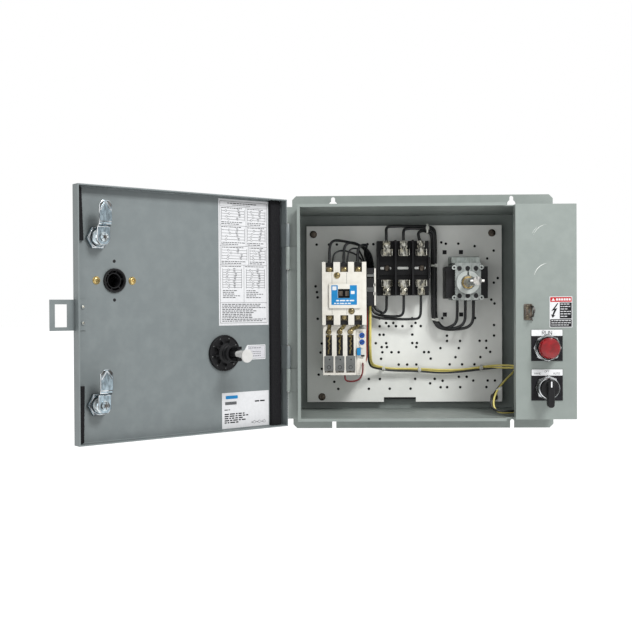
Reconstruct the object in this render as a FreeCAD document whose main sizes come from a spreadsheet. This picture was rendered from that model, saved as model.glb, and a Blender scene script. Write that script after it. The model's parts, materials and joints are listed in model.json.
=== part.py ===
import FreeCAD, Part
import Sketcher
import math
import os
import re

from FreeCAD import Placement, Rotation, Vector

# A wall-hung combination motor starter panel. The frame: +X to the right, +Y into the wall,
# +Z up, in millimetres, with the origin at the centre of the back face that meets the wall.
# The door's pieces are drawn closed, then turned about the hinge axis to the open position.

DIMENSIONS = {
    # sheet-metal box
    "body_width": 404,
    "body_height": 300,
    "body_depth": 152.4,
    "sheet": 1.6,
    "rim": 2.4,
    "shoulder_width": 17,
    "shoulder_depth": 16,
    "notch_left": 104,
    "notch_depth": 10,
    "divider": 116.8,
    # wall plate
    "plate_width": 402,
    "plate_height": 360,
    "plate_thick": 2,
    "plate_chamfer": 6,
    "keyhole_spacing": 275,
    "keyhole_neck": 3.1,
    "keyhole_head": 6.5,
    "keyhole_head_up": 165.5,
    "keyhole_neck_up": 175,
    "slot_up": -170,
    # mounting panel
    "panel_left": -178.5,
    "panel_right": 120,
    "panel_low": -138,
    "panel_high": 132,
    "panel_back": 14.4,
    "panel_hole": 2.1,
    "panel_screw": 2.4,
    # door
    "door_left": -203,
    "door_width": 319.5,
    "door_height": 321,
    "door_flange": 16,
    "door_proud": 8,
    "door_open": 139.66,
    "hinge_right": -200.9,
    "hinge_front": 139.9,
    "barrel": 3.2,
    "hinge_pin": 1.6,
    "running": 0.05,
    "knuckle": 32,
    "gasket": 6,
    # operators
    "shaft_right": 60.5,
    "shaft_up": 43,
    "shaft_radius": 5.8,
    "shaft_front": 180,
    "handle_hole": 15.5,
    "device_right": 159.7,
    "pilot_up": -50.3,
    "selector_up": -105.5,
    "device_hole": 15.3,
    "latch_bore": 6,
    "reset_right": -104,
    "reset_up": -54,
    # wires
    "power_wire": 4.4,
    "control_wire": 2.4,
}

doc = FreeCAD.newDocument("MotorStarterPanel")
sheet = doc.addObject("Spreadsheet::Sheet", "Dims")
for row, (alias, value) in enumerate(DIMENSIONS.items(), start=1):
    sheet.set(f"A{row}", alias)
    sheet.set(f"B{row}", str(value))
    sheet.setAlias(f"B{row}", alias)
doc.recompute()

WORD = re.compile(r"[a-z_]+")
TURNS = {
    "x": Rotation(Vector(0, 1, 0), 90),
    "y": Rotation(Vector(1, 0, 0), -90),
    "z": Rotation(),
}
nodes = []


# ---------------------------------------------------------------- helpers


def dim(alias):
    """The number that a cell of the sheet holds."""
    return float(sheet.get(alias))


def bind(thing, prop, formula):
    """Ties a property to a formula in the sheet's aliases."""
    def cell(match):
        word = match.group()
        return f"Dims.{word}" if word in DIMENSIONS else word

    thing.setExpression(prop, WORD.sub(cell, str(formula)))


def place(thing, x, y, z):
    for axis, formula in zip("xyz", (x, y, z)):
        bind(thing, f"Placement.Base.{axis}", formula)
    return thing


def block(x0, x1, y0, y1, z0, z1):
    """A box from its low to its high corner."""
    thing = doc.addObject("Part::Box", "Block")
    bind(thing, "Length", f"({x1}) - ({x0})")
    bind(thing, "Width", f"({y1}) - ({y0})")
    bind(thing, "Height", f"({z1}) - ({z0})")
    return place(thing, x0, y0, z0)


def along(axis, start, a, b):
    """The x, y and z of a piece's start, from its place across the axis."""
    return {"x": (start, a, b), "y": (a, start, b), "z": (a, b, start)}[axis]


def rod(axis, radius, start, end, a, b):
    """A cylinder along an axis, at (a, b) in the other two."""
    thing = doc.addObject("Part::Cylinder", "Rod")
    bind(thing, "Radius", radius)
    bind(thing, "Height", f"({end}) - ({start})")
    thing.Placement = Placement(Vector(), TURNS[axis])
    return place(thing, *along(axis, start, a, b))


def cone(axis, radius_start, radius_end, start, end, a, b):
    thing = doc.addObject("Part::Cone", "Cone")
    bind(thing, "Radius1", radius_start)
    bind(thing, "Radius2", radius_end)
    bind(thing, "Height", f"({end}) - ({start})")
    thing.Placement = Placement(Vector(), TURNS[axis])
    return place(thing, *along(axis, start, a, b))


def prism(sides, flat, start, end, a, b):
    """A regular prism along Y, measured across its flats."""
    thing = doc.addObject("Part::Prism", "Prism")
    thing.Polygon = sides
    bind(thing, "Circumradius", flat / 2 / math.cos(math.pi / sides))
    bind(thing, "Height", f"({end}) - ({start})")
    half_side = Rotation(Vector(0, 0, 1), 180 / sides)
    thing.Placement = Placement(Vector(), TURNS["y"] * half_side)
    return place(thing, a, start, b)


def gather(*things):
    """Separate solids kept side by side in one piece."""
    thing = doc.addObject("Part::Compound", "Group")
    thing.Links = list(things)
    return thing


def fuse(*things):
    thing = doc.addObject("Part::MultiFuse", "Fusion")
    thing.Shapes = list(things)
    return thing


def cut(base, *tools):
    thing = doc.addObject("Part::Cut", "Cut")
    thing.Base = base
    thing.Tool = tools[0] if len(tools) == 1 else fuse(*tools)
    return thing


def shaped(shape):
    """A piece whose shape neither a body nor a primitive gives."""
    thing = doc.addObject("Part::Feature", "Shape")
    thing.Shape = shape
    return thing


def node(label, thing, on_door=False):
    """Names a finished sub-part, and turns the door's pieces open."""
    thing.Label = label
    if on_door:
        thing.Placement = door_swing().multiply(thing.Placement)
    nodes.append(thing)
    return thing


def door_swing():
    centre = Vector(dim("hinge_right"), -dim("hinge_front"), 0)
    opened = Rotation(Vector(0, 0, 1), -dim("door_open"))
    return Placement(Vector(), opened, centre)


def plate(outline, back, thickness, holes=(), small_holes=(), small_radius="panel_hole"):
    """A flat sheet facing the front. Outline points and holes are formulas for x and z."""
    body = doc.addObject("PartDesign::Body", "Plate")
    sketch = body.newObject("Sketcher::SketchObject", "Outline")
    plane = next(f for f in body.Origin.OriginFeatures if f.Role == "XZ_Plane")
    sketch.AttachmentSupport = [(plane, "")]
    sketch.MapMode = "FlatFace"
    bind(sketch, "AttachmentOffset.Base.z", back)
    count = len(outline)
    for corner in range(count):
        after = (corner + 1) % count
        sketch.addGeometry(Part.LineSegment(Vector(corner, corner**2, 0), Vector(after, after**2, 0)))
    for corner in range(count):
        sketch.addConstraint(Sketcher.Constraint("Coincident", corner, 2, (corner + 1) % count, 1))
    for corner, point in enumerate(outline):
        dimension(sketch, corner, 1, point)
    for x, z, radius in holes:
        circle = sketch.addGeometry(Part.Circle(Vector(1, 1, 0), Vector(0, 0, 1), 1))
        dimension(sketch, circle, 3, (x, z))
        limit(sketch, "Radius", (circle,), radius)
    for number, (x, z) in enumerate(small_holes):
        small = Part.Circle(Vector(x, z, 0), Vector(0, 0, 1), dim(small_radius))
        circle = sketch.addGeometry(small)
        if number == 0:
            first = circle
            limit(sketch, "Radius", (circle,), small_radius)
        else:
            sketch.addConstraint(Sketcher.Constraint("Equal", first, circle))
    pad = body.newObject("PartDesign::Pad", "Sheet")
    pad.Profile = sketch
    bind(pad, "Length", thickness)
    return body


def dimension(sketch, geometry, point, place_at):
    """Holds one sketch point at formulas for its two coordinates."""
    for kind, formula in zip(("DistanceX", "DistanceY"), place_at):
        limit(sketch, kind, (-1, 1, geometry, point), formula)


def limit(sketch, kind, target, formula):
    index = sketch.addConstraint(Sketcher.Constraint(kind, *target, 1.0))
    bind(sketch, f"Constraints[{index}]", formula)


def rectangle(x0, x1, z0, z1):
    return [(x0, z0), (x1, z0), (x1, z1), (x0, z1)]


def centred(x, z, width, height):
    """A rectangle's outline about a centre."""
    return rectangle(
        f"{x} - {width / 2}", f"{x} + {width / 2}", f"{z} - {height / 2}", f"{z} + {height / 2}"
    )


def tube(points, diameter, largest):
    """A wire: straight runs joined by tangent arcs, no arc wider than the clips allow."""
    points = [Vector(*point) for point in points]
    edges = []
    start = points[0]
    tightest = math.inf
    for before, corner, after in zip(points, points[1:], points[2:]):
        back, ahead = before - corner, after - corner
        turn = math.pi - back.getAngle(ahead)
        shorter = min(back.Length, ahead.Length)
        radius = min(largest, 0.45 * shorter / math.tan(turn / 2))
        trim = radius * math.tan(turn / 2)
        back.normalize()
        ahead.normalize()
        middle = (back + ahead).normalize()
        leave = corner + back * trim
        top = corner + middle * (radius / math.cos(turn / 2) - radius)
        join = corner + ahead * trim
        edges += [Part.LineSegment(start, leave).toShape(), Part.Arc(leave, top, join).toShape()]
        start = join
        tightest = min(tightest, radius)
    edges.append(Part.LineSegment(start, points[-1]).toShape())
    path = Part.Wire(edges)
    ring = Part.makeCircle(diameter / 2, points[0], points[1] - points[0])
    pipe = path.makePipeShell([Part.Wire(ring)], True, False)
    expected = math.pi * diameter**2 / 4 * path.Length
    print(f"wire {path.Length:.0f} mm, tightest {tightest:.1f} mm, volume {pipe.Volume / expected:.3f}")
    return pipe


# ---------------------------------------------------------------- the box

HALF_WIDTH = "body_width / 2"
HALF_HEIGHT = "body_height / 2"
LIP = "shoulder_width - body_width / 2"
INNER_BACK = "-plate_thick - sheet"
SHOULDER = "shoulder_depth - body_depth"
RETURN_DEPTH = 12
FACE = "-body_depth - sheet"  # the fixed front panel's outside face
RIVET = 1.6
RIVETS_RIGHT = 132.5
RIVETS_UP = (6.6, -7.6)


def enclosure_shell():
    outside = fuse(
        block(f"-{HALF_WIDTH}", HALF_WIDTH, SHOULDER, "-plate_thick", f"-{HALF_HEIGHT}", HALF_HEIGHT),
        block(LIP, HALF_WIDTH, "-body_depth", SHOULDER, f"-{HALF_HEIGHT}", HALF_HEIGHT),
    )
    low, high = f"sheet - {HALF_HEIGHT}", f"{HALF_HEIGHT} - sheet"
    right = f"{HALF_WIDTH} - sheet"
    hollow = fuse(
        block(f"sheet - {HALF_WIDTH}", right, f"{SHOULDER} + sheet", INNER_BACK, low, high),
        block(f"{LIP} + sheet", right, "-body_depth - 1", f"{SHOULDER} + sheet", low, high),
    )
    notches = [
        block("notch_left", "divider", "-body_depth - 1", "notch_depth - body_depth", z0, z1)
        for z0, z1 in ((high, f"{HALF_HEIGHT} + 9"), (f"-{HALF_HEIGHT} - 9", low))
    ]
    corner = block(f"{right} - sheet", f"{HALF_WIDTH} + 1", "-body_depth - 1",
                   f"{RETURN_DEPTH} - body_depth", f"-{HALF_HEIGHT} - 1", f"{HALF_HEIGHT} + 1")
    walls = cut(outside, hollow, *notches, corner)
    front, behind = "-body_depth", "sheet - body_depth"
    rims = [
        block(f"{LIP} - rim", "notch_left", front, behind, HALF_HEIGHT, f"{HALF_HEIGHT} + rim"),
        block(f"{LIP} - rim", "notch_left", front, behind, f"-{HALF_HEIGHT} - rim", f"-{HALF_HEIGHT}"),
        block(f"{LIP} - rim", LIP, front, behind, f"-{HALF_HEIGHT}", HALF_HEIGHT),
    ]
    return fuse(walls, *rims)


def wall_plate():
    """The flange that hangs the box: keyholes at the top and open slots at the bottom."""
    x, z, c = "plate_width / 2", "plate_height / 2", "plate_chamfer"
    outline = [
        (f"-{x} + {c}", f"-{z}"), (f"{x} - {c}", f"-{z}"), (x, f"-{z} + {c}"), (x, f"{z} - {c}"),
        (f"{x} - {c}", z), (f"-{x} + {c}", z), (f"-{x}", f"{z} - {c}"), (f"-{x}", f"-{z} + {c}"),
    ]
    back = plate(outline, 0, "plate_thick")
    cuts = []
    for side in (-1, 1):
        x = f"{side} * keyhole_spacing / 2"
        cuts += [
            rod("y", "keyhole_head", "-plate_thick - 1", 1, x, "keyhole_head_up"),
            rod("y", "keyhole_neck", "-plate_thick - 1", 1, x, "keyhole_neck_up"),
            block(f"{x} - keyhole_neck", f"{x} + keyhole_neck", "-plate_thick - 1", 1,
                  "keyhole_head_up", "keyhole_neck_up"),
            rod("y", "keyhole_neck", "-plate_thick - 1", 1, x, "slot_up"),
            block(f"{x} - keyhole_neck", f"{x} + keyhole_neck", "-plate_thick - 1", 1,
                  "-plate_height / 2 - 1", "slot_up"),
        ]
    return cut(back, *cuts)


def fixed_front_panel():
    """The fixed part of the front, folded back at the divider and round the right corner."""
    left, right = dim("divider"), dim("body_width") / 2
    thick = dim("sheet")
    front = -dim("body_depth") - thick
    high = dim("body_height") / 2
    outer, inner = 3.2, 3.2 - thick
    hub = Vector(right - outer, front + outer, -high)

    def bend(radius):
        start = hub + Vector(0, -radius, 0)
        middle = hub + Vector(radius * math.sqrt(0.5), -radius * math.sqrt(0.5), 0)
        return Part.Arc(start, middle, hub + Vector(radius, 0, 0)).toShape()

    def line(x0, y0, x1, y1):
        return Part.LineSegment(Vector(x0, y0, -high), Vector(x1, y1, -high)).toShape()

    fold_end, side_end = -137.0, -dim("body_depth") + RETURN_DEPTH
    edges = [
        line(left, fold_end, left, front),
        line(left, front, hub.x, front),
        bend(outer),
        line(right, hub.y, right, side_end),
        line(right, side_end, right - thick, side_end),
        line(right - thick, side_end, right - thick, hub.y),
        bend(inner),
        line(hub.x, front + thick, left + thick, front + thick),
        line(left + thick, front + thick, left + thick, fold_end),
        line(left + thick, fold_end, left, fold_end),
    ]
    # the fold at the divider fits between the top and bottom walls
    profile = Part.Face(Part.Wire(Part.sortEdges(edges)[0]))
    sheet_metal = profile.extrude(Vector(0, 0, 2 * high))
    walls = [
        Part.makeBox(thick + 1, 60, thick + 0.01, Vector(left - 0.5, -dim("body_depth"), z))
        for z in (-high - 0.01, high - thick)
    ]
    sheet_metal = sheet_metal.cut(walls)
    inward = Vector(0, 1, 0)
    across = dim("device_right")
    drills = [
        Part.makeCylinder(dim("device_hole"), 6, Vector(across, front - 2, dim(up)), inward)
        for up in ("pilot_up", "selector_up")
    ]
    drills += [Part.makeCylinder(RIVET, 6, Vector(RIVETS_RIGHT, front - 2, z), inward) for z in RIVETS_UP]
    return shaped(sheet_metal.cut(drills))


# ---------------------------------------------------------------- mounting panel

PANEL_SCREWS = [(-168, 119.5), (105, 120), (-156, -130), (107.5, -131)]
SQUARE_HOLES = [(33, 91), (58, 91), (33, -4.5), (58, -4.5)]
# hole groups drilled for other devices, each a list of (x, z)
EDGE_HOLES = [(x, 104) for x in (-163, -144, -132, -85, -76, 35, 54)]
EDGE_HOLES += [(28, 106), (79, 100), (108, 93), (98, 81), (114, 51), (108, 44), (104, 18), (109, 12)]
EDGE_HOLES += [(-165, 40), (-163, 31), (-162, 23), (-162, -10), (-156, -48), (-158, -62), (-156, -87)]
EDGE_HOLES += [(-161, -96), (-145, -96), (-137, -107), (-131, -118)]
MIDDLE_ROWS = {
    -10: (-67, -17), -17: (-57, -46, -12), -22: (-67, -53, -42, -32, -18, -4), -35: (-67, -61, -17),
    -48: (-73, -57, -17, -10), -54: (-64, -56, -11), -62: (-63, -49, -38, 1, 8), -72: (-65, 11),
    -81: (-38, -25, -11), -110: (10,), -118: (-84, -52, -20), -103: (-84, -67, -13, 17),
}
RIGHT_ROWS = {
    -10: (29, 79), -21: (108,), -37: (36, 108), -45: (36, 56, 86, 96), -56: (26, 54, 96), -62: (102,),
    -70: (49, 87), -81: (40, 59, 78), -106: (29, 76, 98, 109), -100: (54, 66), -116: (26, 36, 56, 96),
}


def mounting_panel():
    rows = [(x, z) for group in (MIDDLE_ROWS, RIGHT_ROWS) for z, row in group.items() for x in row]
    outline = [
        ("panel_left", "panel_low"), (-61, "panel_low"), (-61, "panel_low + 7"), (-12, "panel_low + 7"),
        (-12, "panel_low"), ("panel_right", "panel_low"), ("panel_right", "panel_high"),
        ("panel_left", "panel_high"),
    ]
    screws = [(x, z, "panel_screw") for x, z in PANEL_SCREWS]
    flat = plate(outline, "panel_back", "sheet", screws, EDGE_HOLES + rows)
    squares = [
        block(x - 3.2, x + 3.2, "-panel_back - sheet - 1", "-panel_back + 1", z - 3.2, z + 3.2)
        for x, z in SQUARE_HOLES
    ]
    return cut(flat, *squares)


def panel_standoffs():
    posts = []
    for x, z in PANEL_SCREWS:
        post = rod("y", 5, "-panel_back", INNER_BACK, x, z)
        posts.append(cut(post, rod("y", "panel_screw", "-panel_back - 1", "-panel_back + 6", x, z)))
    return gather(*posts)


def pan_screw(x, z, seat, radius, shank, length, head=2.4):
    """A pan-head screw with a straight slot, its head in front of the seat."""
    top = f"{seat} - {head}"
    slot = block(x - radius, x + radius, top, f"{top} + {head * 0.45}", z - 0.5, z + 0.5)
    cap = cut(rod("y", radius, top, seat, x, z), slot)
    return fuse(cap, rod("y", shank, seat, f"{seat} + {length}", x, z))


def panel_screws():
    seat = "-panel_back - sheet"
    return gather(*[pan_screw(x, z, seat, 5.8, 2.3, 6) for x, z in PANEL_SCREWS])


# ---------------------------------------------------------------- hinges and door

HINGE_GAPS = (93.7, -78.8)  # the height of each hinge's parting line
AXIS_Y = "-hinge_front"


def box_hinge_leaves():
    """The lower half of each hinge, its leaf flat on the shoulder."""
    leaves = []
    for gap in HINGE_GAPS:
        low, high = f"{gap} - knuckle", f"{gap} - 0.15"
        leaf = block("hinge_right", "hinge_right + 14.6", f"{SHOULDER} - 1.5", SHOULDER, low, high)
        barrel = rod("z", "barrel", low, high, "hinge_right", AXIS_Y)
        bore = rod("z", "hinge_pin", f"{low} - 1", f"{high} + 1", "hinge_right", AXIS_Y)
        leaves.append(cut(fuse(barrel, leaf), bore))
    return gather(*leaves)


def hinge_pins():
    pins = [
        rod("z", "hinge_pin", f"{gap} - knuckle", f"{gap} + knuckle", "hinge_right", AXIS_Y)
        for gap in HINGE_GAPS
    ]
    return gather(*pins)


def door_hinge_leaves():
    """The upper half of each hinge, its leaf on the inside of the door's flange."""
    leaves = []
    for gap in HINGE_GAPS:
        low, high = f"{gap} + 0.15", f"{gap} + knuckle"
        leaf = block("door_left + sheet", "door_left + sheet + 1.5", "-body_depth - door_proud + 3",
                     AXIS_Y, low, high)
        barrel = rod("z", "barrel", low, high, "hinge_right", AXIS_Y)
        bore = rod("z", "hinge_pin + running", f"{low} - 1", f"{high} + 1", "hinge_right", AXIS_Y)
        leaves.append(cut(fuse(barrel, leaf), bore))
    return gather(*leaves)


SKIN = "-body_depth - door_proud"  # the door's outside face
LATCHES_UP = (96, -112)
LATCH_IN = 288  # from the door's hinge side
HASP_UP = 19


def door_x(inward):
    return f"door_left + {inward}"


def door_y(depth):
    return f"{SKIN} + {depth}"


def door_panel():
    left, width, height = dim("door_left"), dim("door_width"), dim("door_height")
    depth, thick = dim("door_flange"), dim("sheet")
    front = -dim("body_depth") - dim("door_proud")
    bend = 2.4
    outer = Part.makeBox(width, depth, height, Vector(left, front, -height / 2))
    inner = Part.makeBox(width - 2 * thick, depth, height - 2 * thick,
                         Vector(left + thick, front + thick, thick - height / 2))

    def folds(solid, at):
        return [e for e in solid.Edges if all(abs(v.Point.y - at) < 0.01 for v in e.Vertexes)]

    outer = outer.makeFillet(bend, folds(outer, front))
    inner = inner.makeFillet(bend - thick, folds(inner, front + thick))
    tray = outer.cut(inner)
    forward = Vector(0, 1, 0)

    def hole(radius, inward, up):
        return Part.makeCylinder(radius, 6, Vector(left + inward, front - 2, up), forward)

    shaft_in = dim("shaft_right") - left
    holes = [hole(dim("handle_hole"), shaft_in, dim("shaft_up"))]
    holes += [hole(2.2, shaft_in + side * 25, dim("shaft_up")) for side in (-1, 1)]
    holes += [hole(2.2, shaft_in, dim("shaft_up") + side * 24.5) for side in (-1, 1)]
    holes += [hole(10, LATCH_IN, up) for up in LATCHES_UP]
    holes.append(hole(11, dim("reset_right") - left, dim("reset_up")))
    slot_corner = Vector(left + width - 4, front + 4.1, -HASP_UP - 0.7)
    slot = Part.makeBox(6, 2.2, 2 * HASP_UP + 1.4, slot_corner)
    return shaped(tray.cut(holes + [slot]))


def gasket_strip(x0, x1, z0, z1, thick):
    return block(door_x(x0), door_x(x1), door_y("sheet"), door_y(f"sheet + {thick}"), z0, z1)


def hinge_side_gasket():
    return gather(gasket_strip(4.6, 21.8, "-door_height / 2 + 2.4", "door_height / 2 - 2.4", "gasket"))


def free_side_gaskets():
    spans = ((92, 158), (-158, -88))
    return gather(*[gasket_strip(306.5, 317, low, high, 4.6) for low, high in spans])


def door_labels():
    """The wiring diagram sheet and the rating sheet stuck inside the door."""
    return gather(gasket_strip(23.2, 106.5, -16.5, 157, 0.3), gasket_strip(23.6, 102.5, -158, -109, 0.3))


def padlock_hasp():
    """A strap from inside the door, out through its free edge, with a padlock window."""
    plate_y = (door_y(4.4), door_y(6))
    strap = block(door_x(312), door_x(352), *plate_y, -HASP_UP, HASP_UP)
    riser = block(door_x(312), door_x(313.6), door_y("sheet"), door_y(6), -HASP_UP, HASP_UP)
    foot = block(door_x(303), door_x(313.6), door_y("sheet"), door_y("2 * sheet"), -HASP_UP, HASP_UP)
    window = block(door_x(329.5), door_x(345.5), door_y(3), door_y(7), -14.6, 13.2)
    rivets = [rod("y", 2.6, door_y(3.2), door_y(4.4), door_x(307.5), z) for z in (-10, 10)]
    return fuse(cut(fuse(strap, riser, foot), window), *rivets)


def latch_housings():
    housings = []
    for up in LATCHES_UP:
        x = door_x(LATCH_IN)
        housing = fuse(
            rod("y", 13.5, door_y(-2.5), door_y(0), x, up),
            rod("y", 9.9, door_y(0), door_y(20), x, up),
            prism(6, 27, door_y("sheet"), door_y(9), x, up),
        )
        housings.append(cut(housing, rod("y", "latch_bore", door_y(-4), door_y(21), x, up)))
    return gather(*housings)


def latch_cam(up):
    """The turning part of a latch: keyed core, cranked cam strip and its screw."""
    x = door_x(LATCH_IN)
    core = cut(
        rod("y", "latch_bore - running", door_y(-2), door_y(20.4), x, up),
        block(f"{x} - 4", f"{x} + 4", door_y(-3), door_y(0.5), up - 0.8, up + 0.8),
    )
    hub = block(f"{x} - 8.6", f"{x} + 8.6", door_y(20.4), door_y(22), up - 9, up + 13)
    step = block(f"{x} - 8.6", f"{x} + 8.6", door_y(20.4), door_y(27.6), up + 13, up + 14.6)
    tip = block(f"{x} - 8.6", f"{x} + 8.6", door_y(26), door_y(27.6), up + 13, up + 45)
    screw = prism(6, 9, door_y(22), door_y(26.2), x, up)
    return fuse(core, hub, step, tip, screw)


def handle_escutcheon():
    x = "shaft_right"
    ring = fuse(rod("y", 34, door_y(-4), door_y(0), x, "shaft_up"),
                rod("y", 15.3, door_y(-0.1), door_y("sheet + 2.4"), x, "shaft_up"))
    opening = rod("y", 13.48, door_y(-5), door_y(5), x, "shaft_up")
    pilots = [rod("y", 2, door_y(-3), door_y(1), f"{x} + {s * 25}", "shaft_up") for s in (-1, 1)]
    return cut(ring, opening, *pilots)


def escutcheon_screws():
    screws = []
    for side in (-1, 1):
        x = f"shaft_right + {side * 25}"
        head = cut(rod("y", 4.2, door_y("sheet"), door_y("sheet + 2.4"), x, "shaft_up"),
                   block(f"{x} - 5", f"{x} + 5", door_y("sheet + 1.4"), door_y("sheet + 3"),
                         "shaft_up - 0.6", "shaft_up + 0.6"))
        screws.append(fuse(head, rod("y", 1.9, door_y(-2.6), door_y("sheet"), x, "shaft_up")))
    return gather(*screws)


def door_handle():
    """The rotary handle: a lever on a hub whose socket drives the switch shaft's cross pin."""
    x = "shaft_right"
    hub = cone("y", 17, 20, door_y(-31), door_y(-4.3), x, "shaft_up")
    lever = block(f"{x} - 62", f"{x} + 20", door_y(-31), door_y(-17), "shaft_up - 9", "shaft_up + 9")
    end = rod("y", 9, door_y(-31), door_y(-17), f"{x} - 62", "shaft_up")
    spigot = rod("y", 13.4, door_y(-4.4), door_y(3), x, "shaft_up")
    socket = rod("y", 12.6, door_y(-26), door_y(4), x, "shaft_up")
    dogs = [
        block(f"{x} + {sx} * 11 - 2.6", f"{x} + {sx} * 11 + 2.6", door_y(-27), door_y(-12),
              f"shaft_up + {sz} * 5.6 - 2", f"shaft_up + {sz} * 5.6 + 2")
        for sx in (-1, 1) for sz in (-1, 1)
    ]
    return fuse(cut(fuse(hub, lever, end, spigot), socket), *dogs)


def reset_guide():
    """The black guide of the reset plunger: a ribbed disc, a hub and a pair of prongs."""
    x, z = "reset_right", "reset_up"
    solids = [
        rod("y", 14, door_y(-5), door_y(0), x, z),
        rod("y", 10.8, door_y(-1), door_y(2), x, z),
        rod("y", 25, door_y("sheet"), door_y(9), x, z),
        rod("y", 11, door_y(9), door_y(24), x, z),
    ]
    ribs = 9
    for number in range(ribs):
        rib = block(0, 23, door_y(9), door_y(12), -0.9, 0.9)
        arm = gather(rib)
        arm.Placement = Placement(Vector(dim("reset_right"), 0, dim("reset_up")),
                                  Rotation(Vector(0, 1, 0), 360 * number / ribs))
        solids.append(arm)
    solids += [
        block(f"{x} - 3.5", f"{x} + 3.5", door_y(24), door_y(40), f"{z} + {up - 1.7}", f"{z} + {up + 1.7}")
        for up in (-7.2, 7.2)
    ]
    return cut(fuse(*solids), rod("y", 5.05, door_y(-6), door_y(25), x, z))


def reset_plunger():
    """The white push rod: button outside, paddle inside over the relay's reset."""
    x, z = "reset_right", "reset_up"
    rod_part = rod("y", 5, door_y(-15), door_y(62), x, z)
    button = rod("y", 11, door_y(-17), door_y(-14.6), x, z)
    paddle = block(f"{x} - 25.4", f"{x} + 7", door_y(61.5), door_y(64), f"{z} - 6.6", f"{z} + 12.6")
    lobe = rod("y", 8.6, door_y(61.5), door_y(64), f"{x} + 4.6", f"{z} - 2")
    flare = cone("y", 5, 6.4, door_y(50), door_y(61.6), x, z)
    return fuse(rod_part, button, paddle, lobe, flare)


# ---------------------------------------------------------------- front-panel devices


def padlock_staple():
    base = block(128, 139.6, f"{FACE} - 1.5", FACE, -11.6, 10.8)
    holes = [rod("y", RIVET, f"{FACE} - 3", f"{FACE} + 1", RIVETS_RIGHT, z) for z in RIVETS_UP]
    eye = block(137.6, 139.6, f"{FACE} - 17", f"{FACE} - 1.5", -8, 9)
    hole = rod("x", 4.6, 136, 142, f"{FACE} - 9.5", 0.5)
    return cut(fuse(base, eye), hole, *holes)


def staple_rivets():
    rivets = [
        fuse(rod("y", RIVET, f"{FACE} - 1.5", f"{FACE} + sheet", RIVETS_RIGHT, z),
             cone("y", 2, 3, f"{FACE} - 3", f"{FACE} - 1.5", RIVETS_RIGHT, z),
             rod("y", 2.6, f"{FACE} + sheet", f"{FACE} + sheet + 1.2", RIVETS_RIGHT, z))
        for z in RIVETS_UP
    ]
    return gather(*rivets)


def legend_plate(up):
    return plate(centred("device_right", f"{up} + 3.6", 43.4, 43.6), "body_depth + sheet", 1,
                 [("device_right", up, "device_hole")])


def warning_label():
    return gather(block(163.6, 195, f"{FACE} - 0.3", FACE, -22, 21))


def device_bezel(up, flats, nut, ring, front, bore):
    """The octagonal locknut and round bezel that clamp a 30 mm device to the panel."""
    x = "device_right"
    solids = fuse(prism(8, flats, f"{FACE} - 1 - {nut}", f"{FACE} - 1", x, up),
                  rod("y", ring, f"{FACE} - {front}", f"{FACE} - 1 - {nut}", x, up))
    return cut(solids, rod("y", bore, f"{FACE} - {front} - 1", f"{FACE} + 1", x, up))


def pilot_light_body():
    x, z = "device_right", "pilot_up"
    barrel = rod("y", "device_hole - 0.3", f"{FACE} - 12", "-120", x, z)
    rear = block(f"{x} - 17", f"{x} + 17", -136, -98, f"{z} - 19", f"{z} + 19")
    lamp_bay = rod("y", 9, f"{FACE} - 13", "-140", x, z)
    return cut(fuse(barrel, rear), lamp_bay)


def pilot_lens():
    """A domed cap on a skirt, turned about the lamp's axis."""
    x, z = dim("device_right"), dim("pilot_up")
    face = -dim("body_depth") - dim("sheet")
    radius, rise, skirt = 14.4, 5.0, 9.0
    ball = (radius**2 + rise**2) / (2 * rise)
    shoulder = face - 21.2
    tip = shoulder - rise
    half_turn = math.asin(radius / ball) / 2

    def at(out, y):
        return Vector(x + out, y, z)

    dome_middle = at(ball * math.sin(half_turn), tip + ball - ball * math.cos(half_turn))
    edges = [
        Part.Arc(at(0, tip), dome_middle, at(radius, shoulder)).toShape(),
        Part.LineSegment(at(radius, shoulder), at(radius, shoulder + skirt)).toShape(),
        Part.LineSegment(at(radius, shoulder + skirt), at(0, shoulder + skirt)).toShape(),
        Part.LineSegment(at(0, shoulder + skirt), at(0, tip)).toShape(),
    ]
    return shaped(Part.Face(Part.Wire(edges)).revolve(at(0, tip), Vector(0, 1, 0), 360))


def selector_body():
    x, z = "device_right", "selector_up"
    barrel = fuse(rod("y", 12, f"{FACE} - 12", FACE, x, z),
                  rod("y", "device_hole - 0.3", FACE, -120, x, z))
    blocks = block(f"{x} - 18", f"{x} + 18", -136, -92, f"{z} - 20", f"{z} + 20")
    return cut(fuse(barrel, blocks), rod("y", 6, f"{FACE} - 13", "-130", x, z))


def selector_knob():
    """A lever knob: the pointer end up, and a longer tail below the spindle."""
    x, z = "device_right", "selector_up"
    disc = rod("y", 12.4, f"{FACE} - 23", f"{FACE} - 18.4", x, z)
    front, back = f"{FACE} - 31", f"{FACE} - 22"
    lever = block(f"{x} - 5.4", f"{x} + 5.4", front, back, f"{z} - 20.6", f"{z} + 5.6")
    ends = [rod("y", 5.4, front, back, x, f"{z} + {reach}") for reach in (-20.6, 5.6)]
    spindle = rod("y", 5.95, f"{FACE} - 18.5", f"{FACE} + 14", x, z)
    return fuse(disc, lever, *ends, spindle)


# ---------------------------------------------------------------- motor starter

PANEL = "-panel_back - sheet"  # the mounting panel's front face
POLES = (-142.7, -121.5, -101.2)
STARTER = (-153.6, -89.2)
COVER_SCREWS = [(-131.8, 54), (-111, 2)]


def contactor_base():
    x0, x1 = STARTER
    body = block(x0, x1, -50, PANEL, -18.2, 73.6)
    bay = block(x0 + 12, x1 - 12, -51, -22, 2, 54)
    return cut(body, bay)


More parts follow.
